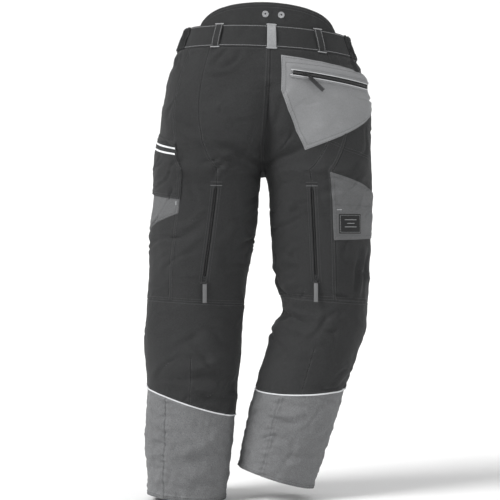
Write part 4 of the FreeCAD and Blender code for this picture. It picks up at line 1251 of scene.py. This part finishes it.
def make_vent(side):
    """The zip behind a thigh: tape, coils, slider, pull, stitches and bar tacks."""
    word = WORDS[side]
    low, high, up, out, across = straight_frame(side)
    count = 60
    line = low - up * 8 + np.linspace(0, 1, count)[:, None] * (high - low + up * 16)
    outs = np.broadcast_to(out, line.shape)
    sides = np.broadcast_to(across, line.shape)
    strip(f"{word}_vent_tape", line, sides, outs, 11.0, 0.7, "tape", "seat", [f"{word}_vent_zip"])
    pairs = int(np.linalg.norm(high - low) / 1.35)
    centres = low + np.linspace(0, 1, pairs)[:, None] * (high - low) + out * 1.1
    teeth(centres, np.broadcast_to(up, centres.shape), np.broadcast_to(out, centres.shape))
    refined(f"{word}_vent_slider", "metal", f"{word}_vent_slider")
    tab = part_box(f"{word}_vent_pull")[1].z / MM - 12.8
    refined(f"{word}_vent_pull", "metal", f"{word}_vent_pull", 0.3, 3, ("grip", tab))
    seam_stitches(
        "seat", side, VENT_SEAM, (VENT_LOW[side] - 3, VENT_TOP + 4), (-6.2, -11.4, 6.2, 11.4),
        offset=0.3,
    )
    half = 13.0 / speed(side, VENT_SEAM, VENT_TOP)
    for rise, key in ((5, "grey_thread"), (13, "thread")):
        level = VENT_TOP + rise
        ends = ((VENT_SEAM - half, level), (VENT_SEAM + half, level))
        bar_tack("seat", on_side(side), *ends, 1.6, key, 0.5)
    half = 8.0 / speed(side, VENT_SEAM, VENT_LOW[side])
    level = VENT_LOW[side] - 4
    ends = ((VENT_SEAM - half, level), (VENT_SEAM + half, level))
    bar_tack("seat", on_side(side), *ends, 2.2, "thread", 0.5)


# ---------------------------------------------------------------- waist

def crimps(flat):
    """Upright gathers of the elastic at the sides."""
    run = np.arctan2(flat[..., 1], flat[..., 0]) * 190
    drift = 1.6 * np.sin(flat[..., 2] * 0.09) + 1.2 * np.sin(flat[..., 2] * 0.17 + run * 0.06)
    return 3.2 * np.sin(run * 0.5 + drift) + 0.9 * np.sin(run * 1.5 + drift) + 1.8


def make_waistband():
    """The back of the waistband, the elastics at the sides and the two front halves."""
    back_end = 0.38
    elastic_end = 0.545

    def back(a, b, offset):
        level = WAIST_LOW + (WAIST_TOP - WAIST_LOW) * b
        return back_cloth(back_end * (2 * a - 1), level, offset + 1.2)

    columns = steps_for(430, 5.0, FINE)
    rows = steps_for(52, 4.0, FINE)
    band = sheet_mesh("waistband_back_cloth", back, 3.0, "outer", columns, rows, "lrbt", 1.5,
                      inner_key="lining")
    settle(band, "seat", ["waistband_back"])
    stitch_rows = (3.4, 48.6)
    for gap in stitch_rows:
        reach = np.linspace(-back_end + 0.004, back_end - 0.004, 120)
        line = np.stack([reach, np.full(120, WAIST_LOW + gap)], 1)
        stitch_line("seat", back_cloth, line, 1.45, "light_thread", 3.2, 0.5, 0.5)
    for side in (RIGHT, LEFT):
        word = WORDS[side]
        levels = (WAIST_LOW, WAIST_TOP)
        panel(
            f"{word}_waist_elastic", side, (1 - elastic_end, 1 - back_end), levels, "seat",
            "elastic", nodes=["waist_elastics"], base=1.0, thick=3.0, raise_by=crimps, step=1.6,
        )
        panel(
            f"{word}_waistband_front", side, (CENTRE, 1 - elastic_end - 0.0004), levels, "seat",
            base=1.2, thick=3.0, dip=1.5,
        )
        for gap in stitch_rows:
            ring_stitches(
                "seat", side, WAIST_LOW + gap, (0.006, 1 - elastic_end - 0.006), (0.0,),
                "light_thread", 1.45,
            )
        for u in (1 - back_end - 0.006, 1 - elastic_end + 0.006):
            seam_stitches("seat", side, u, (WAIST_LOW + 3, WAIST_TOP - 3), (0.0,), offset=2.4)


YOKE_REACH = 0.318


def yoke_top(share):
    """Level of the raised back's arched top edge, from -1 to 1 across it."""
    return WAIST_TOP - 8 + 61.0 * np.sqrt(1 - share ** 2)


def make_yoke():
    """The raised back, which stands up from inside the waistband."""
    low = WAIST_LOW + 14

    def place(a, b, offset):
        share = 2 * a - 1
        level = low + (yoke_top(share) - low) * b
        return back_cloth(YOKE_REACH * share, level, offset - 2.8)

    columns = steps_for(370, 4.0, FINE)
    rows = steps_for(96, 4.0, FINE)
    yoke = sheet_mesh("kidney_yoke_cloth", place, 2.4, "outer", columns, rows, "lrt", 1.4,
                      inner_key="lining")
    settle(yoke, "seat", ["kidney_yoke"])
    share = np.linspace(-0.985, 0.985, 160)
    for gap in (6.0, 12.0):
        edge = np.maximum(yoke_top(share) - gap, WAIST_TOP - 4)
        stitch_line("seat", back_cloth, np.stack([YOKE_REACH * share, edge], 1), -2.6, "thread")


def loop_piece(name, side, u, key, nodes):
    """A belt loop: a folded strap sewn down at both ends, standing off the waistband between."""
    half = 10.0 if key == "loop" else 9.25
    low, high = WAIST_LOW - 3, WAIST_TOP + 3
    pace = float(speed(side, u, (WAIST_LOW + WAIST_TOP) / 2))

    def lift(level):
        share = np.clip((level - low) / (high - low), 0, 1)
        bow = np.sin(np.pi * np.clip((share - 0.09) / 0.82, 0, 1))
        return 2.0 + 4.6 * np.clip(bow, 0, 1) ** 0.45

    def place(a, b, offset):
        level = low + (high - low) * b
        return cloth(side, u + (2 * a - 1) * half / pace, level, offset + lift(level))

    fine = [0, 0.4, 1.0, 2.0]
    columns, rows = steps_for(2 * half, 2.5, fine), steps_for(high - low, 2.0, fine)
    strap = sheet_mesh(name, place, 1.7, key, columns, rows, "lr", 0.8)
    settle(strap, "seat", nodes)

    def top(first, level, offset):
        return cloth(side, first, level, lift(np.asarray(level)) + offset)

    levels = np.linspace(low + 2, high - 2, 30)
    for way in (-1, 1):
        line = np.stack([np.full(30, u + way * (half - 2.2) / pace), levels], 1)
        stitch_line("seat", top, line, 0.25, "light_thread", 2.9, 0.6, 0.45)
    for level in (low + 2.2, high - 2.2):
        reach = (half + 1.5) / pace
        bar_tack("seat", top, (u - reach, level), (u + reach, level), 2.8, "light_thread", 0.4)


def make_belt_loops():
    """The light loop at centre back and three dark ones on each side."""
    loop_piece("centre_loop_strap", RIGHT, 0.995, "loop", ["centre_belt_loop"])
    for side in (RIGHT, LEFT):
        for u, place in ((0.80, "rear"), (0.50, "side"), (0.21, "front")):
            name = f"{WORDS[side]}_{place}_loop_strap"
            loop_piece(name, side, u, "outer", ["side_belt_loops"])


# ---------------------------------------------------------------- pockets and fly

def ruled_place(side, first_edge, second_edge, base):
    """Points of a patch between two lines of (u, level) points, each from its lower end up."""
    def edge_at(edge, b):
        edge = np.array(edge, float)
        known = np.linspace(0, 1, len(edge))
        return np.interp(b, known, edge[:, 0]), np.interp(b, known, edge[:, 1])

    def place(a, b, offset):
        u1, level1 = edge_at(first_edge, b)
        u2, level2 = edge_at(second_edge, b)
        stand = base(b) if callable(base) else base
        return cloth(side, u1 + (u2 - u1) * a, level1 + (level2 - level1) * a, offset + stand)

    return place


def patch(name, side, first_edge, second_edge, base, key, place_key, nodes, thick=1.3,
          raise_by=None, step=4.0, sewn="lrb", thread="thread", gaps=(2.0, 7.5), dip=0.9):
    """A pocket patch with its edges turned under and stitched on the named edges."""
    place = ruled_place(side, first_edge, second_edge, base)
    shares, middle = np.linspace(0, 1, 16), np.full(16, 0.5)
    width = run_along(place(shares, middle, 0.0))[-1]
    tall = run_along(place(middle, shares, 0.0))[-1]
    thing = sheet_mesh(
        name, place, thick, key, steps_for(width, step, FINE), steps_for(tall, step, FINE),
        "lrbt", dip, raise_by=raise_by,
    )
    settle(thing, place_key, nodes)
    count = 60
    run = np.linspace(0.0, 1.0, count)

    def surface(a, b, offset=0.0):
        lift = 0.0 if raise_by is None else raise_by(place(a, b, 0.0))
        return place(a, b, offset + lift)

    for gap in gaps:
        in_a, in_b = gap / width, gap / tall
        inner = np.clip(run, in_a, 1 - in_a)
        rise = np.clip(run, in_b, 1 - in_b)
        lines = {
            "l": (np.full(count, in_a), rise), "r": (np.full(count, 1 - in_a), rise),
            "b": (inner, np.full(count, in_b)), "t": (inner, np.full(count, 1 - in_b)),
        }
        for edge in sewn:
            stitch_line(place_key, surface, np.stack(lines[edge], 1), 0.3, thread)
    return thing


def make_hip_pocket():
    """The light pocket on the right of the seat, with its curved zip, welts and piping."""
    inner_edge = [
        (0.8404, -275), (0.8978, -232), (0.9373, -185), (0.9626, -141), (0.9626, -60),
    ]
    outer_edge = [(0.47, level) for level in (-156, -138, -121, -103, -86)]

    def welt(flat):
        """Bring the cloth up to the underside of the zip, and let it fall away beside it."""
        gap = flat - ZIP_CENTRE
        axial = gap @ ZIP_AXIS
        radial = np.sqrt((gap * gap).sum(-1) - axial ** 2)
        share = np.arctan2(gap @ ZIP_SIDE, gap @ ZIP_START) / ZIP_SWEEP
        beyond = np.maximum(np.maximum(-share, share - 1), 0) * ZIP_SWEEP * ZIP_RADIUS
        distance = np.hypot(np.maximum(np.abs(axial) - 8, 0), beyond) / 24
        near = np.clip(1 - distance, 0, 1)
        return np.maximum(ZIP_RADIUS - 1.3 - radial, 0) * ease(near)

    patch(
        "hip_pocket_cloth", RIGHT, outer_edge, inner_edge, 1.5, "pocket", "seat", ["hip_pocket"],
        raise_by=welt, step=3.0, sewn="lrbt",
    )
    share = np.linspace(0.0, 1.0, 90)
    outs = unit(zip_arc(share, 1.0) - zip_arc(share))
    sides = np.broadcast_to(ZIP_AXIS, outs.shape)
    strip("hip_zip_tape", zip_arc(share), sides, outs, 6.0, 0.7, "tape", "seat", ["hip_zip"])
    pairs = np.linspace(0.0, 1.0, 150)
    centres = zip_arc(pairs, 1.1)
    teeth(
        centres, unit(np.gradient(centres, axis=0)), unit(zip_arc(pairs, 1.0) - zip_arc(pairs)),
    )
    longer = np.linspace(-0.02, 1.02, 90)
    outs = unit(zip_arc(longer, 1.0) - zip_arc(longer))
    for name, way in (("upper", 1), ("lower", -1)):
        middle = zip_arc(longer, 0.9, np.full(longer.shape, way * 8.6))
        strip(f"hip_zip_{name}_welt", middle, sides, outs, 2.7, 1.0, "pocket", "seat")
        path = zip_arc(longer, 0.7, np.full(longer.shape, way * 6.0))
        tube(f"hip_zip_{name}_piping", path, 0.8, "piping", "seat", sides=8)
    refined("hip_slider", "metal", "hip_slider")
    refined("hip_pull", "metal", "hip_pull", 0.3)
    for share_end, key in ((0.0, "light_thread"), (1.0, "thread")):
        row = np.full(12, share_end)
        spot = zip_arc(row, 1.0, np.linspace(-5, 5, 12))
        out = unit(zip_arc(row, 2.0) - zip_arc(row, 1.0))
        way = unit(np.cross(out, np.broadcast_to(ZIP_AXIS, out.shape)))
        add_threads("seat", key, spot, way, out, 2.6, 0.5)


def make_left_thigh_pocket():
    """The bag on the left thigh, its flap and the two stripes on the flap."""
    patch(
        "thigh_pocket_bag", LEFT, [(0.36, -508), (0.36, -240)], [(0.672, -424), (0.672, -275)],
        1.6, "grey", "seat", ["thigh_pocket"], sewn="lrb",
    )

    def stand(b):
        """The flap lies close to the thigh at its sewn top and over the bag below."""
        return 2.2 + 2.9 * ease(np.clip((1 - b) / 0.16, 0, 1))

    patch(
        "thigh_flap_cloth", LEFT, [(0.352, -362), (0.352, -218)], [(0.672, -389), (0.672, -256)],
        stand, "outer", "flap", ["thigh_flap"], sewn="lrb", thick=1.6,
    )
    half = 2.1
    for number, drop in enumerate((17.0, 31.0)):
        front = [(0.356, -218 - drop - half), (0.356, -218 - drop + half)]
        back = [(0.668, -256 - drop - half), (0.668, -256 - drop + half)]
        patch(
            f"reflective_stripe_{number + 1}", LEFT, front, back, 5.7, "reflective", "flap",
            ["reflective_stripes"], thick=0.5, sewn="", step=4.0, dip=0.2,
        )
    bar_tack("seat", on_side(LEFT), (0.662, -395), (0.662, -404), 3.2, "light_thread", 2.4)


def make_right_thigh_pocket():
    """The rule pocket on the right thigh and its plain label."""
    patch(
        "rule_pocket_cloth", RIGHT, [(0.42, -474), (0.42, -394)], [(0.716, -480), (0.72, -324)],
        1.9, "grey", "seat", ["rule_pocket"], sewn="lrbt",
    )
    fold = np.stack([np.linspace(0.425, 0.712, 50), np.linspace(-404, -400, 50)], 1)
    stitch_line("seat", on_side(RIGHT), fold, 2.3, "thread")
    bar_tack("seat", on_side(RIGHT), (0.705, -411), (0.690, -411), 2.6, "light_thread", 2.3)
    patch(
        "pocket_label_cloth", RIGHT, [(0.617, -465), (0.617, -421)], [(0.699, -465), (0.699, -421)],
        3.0, "label", "seat", ["pocket_label"], thick=0.7, step=3.0, sewn="lrbt",
        thread="light_thread", gaps=(3.0,), dip=0.4,
    )
    for level, inset in ((-434, 0.0), (-442, 0.008), (-450, 0.0)):
        ends = ((0.637 + inset, level), (0.679 - inset, level))
        bar_tack("seat", on_side(RIGHT), *ends, 1.6, "light_thread", 3.3, 1.0)


def make_hand_pockets():
    """The slanted welts of the hand pockets at the front."""
    for side in (RIGHT, LEFT):
        word = WORDS[side]
        patch(
            f"{word}_hand_pocket_welt", side, [(0.395, -196), (0.19, -60)],
            [(0.425, -180), (0.225, -48)], 1.4, "outer", "seat", [f"{word}_hand_pocket"],
            sewn="lr", gaps=(2.0,), step=3.0,
        )


def skin_spot(side, u, level):
    """A point of the skin and its outward way."""
    return skin_point(side, u, level), skin_normal(side, u, level)


def back_spot(reach, level):
    """The same, counted from centre back."""
    return skin_spot(RIGHT if reach >= 0 else LEFT, 1 - abs(reach), level)


def make_fly():
    """The placket and zip of the fly, the waist button and the press studs for braces."""
    centre_edge = [(0.004, -196), (0.003, -120), (0.003, -44.4)]
    outer_edge = [(0.075, -150), (0.078, -105), (0.08, -44.4)]
    patch(
        "fly_placket_cloth", LEFT, centre_edge, outer_edge, 1.6, "outer", "seat", ["fly_placket"],
        sewn="rb", gaps=(2.0, 7.5),
    )
    refined("fly_zip", "tape", "seat", 0.1, 1)
    refined("fly_slider", "metal", "fly_slider")
    refined("fly_pull", "metal", "fly_slider", 0.3)
    refined("waist_button", "button", "seat", 0.4)
    studs = refined("brace_studs", "stud", "seat", 0.35)
    # The middles of the brace studs take the dark coil material: painted shade for their hollow
    # centres.
    studs.data.materials.append(MATERIALS["coil"])
    shaded_core_radius, stud_reach = 2.2, 12
    posts = [back_spot(-0.0185, 33.0), back_spot(0.0435, 33.0)]
    posts += [skin_spot(side, u, -14.0) for side in (RIGHT, LEFT) for u in (0.12, 0.30)]
    for polygon in studs.data.polygons:
        centre = np.array(polygon.center) / MM
        for origin, way in posts:
            gap = centre - origin
            rise = gap @ way
            if np.linalg.norm(gap - way * rise) < shaded_core_radius and abs(rise) < stud_reach:
                polygon.material_index = 1


# ---------------------------------------------------------------- stage

def make_stage():
    """A pale floor that curves up into a pale wall, with soft light from all sides."""
    low = cad_low.z / MM - 0.5
    reach, foot, curve, steps = 9000, 3600, 1400, 12
    profile = [(-reach, low), (foot, low)]
    for step in range(1, steps + 1):
        angle = math.pi / 2 * step / steps
        profile.append((foot + curve * math.sin(angle), low + curve * (1 - math.cos(angle))))
    profile.append((foot + curve, low + reach))
    points = [(x, y, z) for y, z in profile for x in (-reach, reach)]
    faces = [(2 * k, 2 * k + 1, 2 * k + 3, 2 * k + 2) for k in range(len(profile) - 1)]
    mesh = bpy.data.meshes.new("floor")
    mesh.from_pydata((np.array(points) * MM).tolist(), [], faces)
    mesh.polygons.foreach_set("use_smooth", [True] * len(mesh.polygons))
    floor = bpy.data.objects.new("floor", mesh)
    bpy.context.scene.collection.objects.link(floor)
    material, shader = new_material("floor_paint")
    shader.inputs["Base Color"].default_value = (0.9, 0.9, 0.9, 1)
    shader.inputs["Roughness"].default_value = 0.9
    mesh.materials.append(material)
    world = bpy.data.worlds.new("studio")
    bpy.context.scene.world = world
    world.use_nodes = True
    background = world.node_tree.nodes["Background"]
    background.inputs["Color"].default_value = (1, 1, 1, 1)
    background.inputs["Strength"].default_value = 0.5
    for name, way, spread, power in (
        ("key", (-0.8, -0.5, 0.8), 24, 2.7),
        ("fill", (0.85, -0.5, 0.25), 40, 0.5),
        ("front", (0.5, 0.8, 0.55), 30, 1.6),
    ):
        light = bpy.data.lights.new(name, "SUN")
        light.angle = math.radians(spread)
        light.energy = power
        lamp = bpy.data.objects.new(name, light)
        lamp.rotation_euler = (-Vector(way)).to_track_quat("-Z", "Y").to_euler()
        bpy.context.scene.collection.objects.link(lamp)


def make_camera():
    """The camera behind the wearer, level, at the middle of the trousers' height."""
    distance = 3.6
    frame_width = 1.175
    lens = bpy.data.cameras.new("camera")
    lens.sensor_width = 36.0
    lens.lens = 18.0 / (frame_width / 2 / distance)
    camera = bpy.data.objects.new("camera", lens)
    camera.location = (-0.040, -distance, -0.503)
    camera.rotation_euler = (math.pi / 2, 0, 0)
    bpy.context.scene.collection.objects.link(camera)
    bpy.context.scene.camera = camera
    bpy.context.scene.view_settings.view_transform = "Standard"


make_camera()
make_stage()
for leg_side in (RIGHT, LEFT):
    make_upper_leg(leg_side)
    make_lower_leg(leg_side)
    make_pads(leg_side)
    make_vent(leg_side)
make_seam_tapes()
make_waistband()
make_yoke()
make_belt_loops()
make_hip_pocket()
make_left_thigh_pocket()
make_right_thigh_pocket()
make_hand_pockets()
make_fly()
flush_threads()
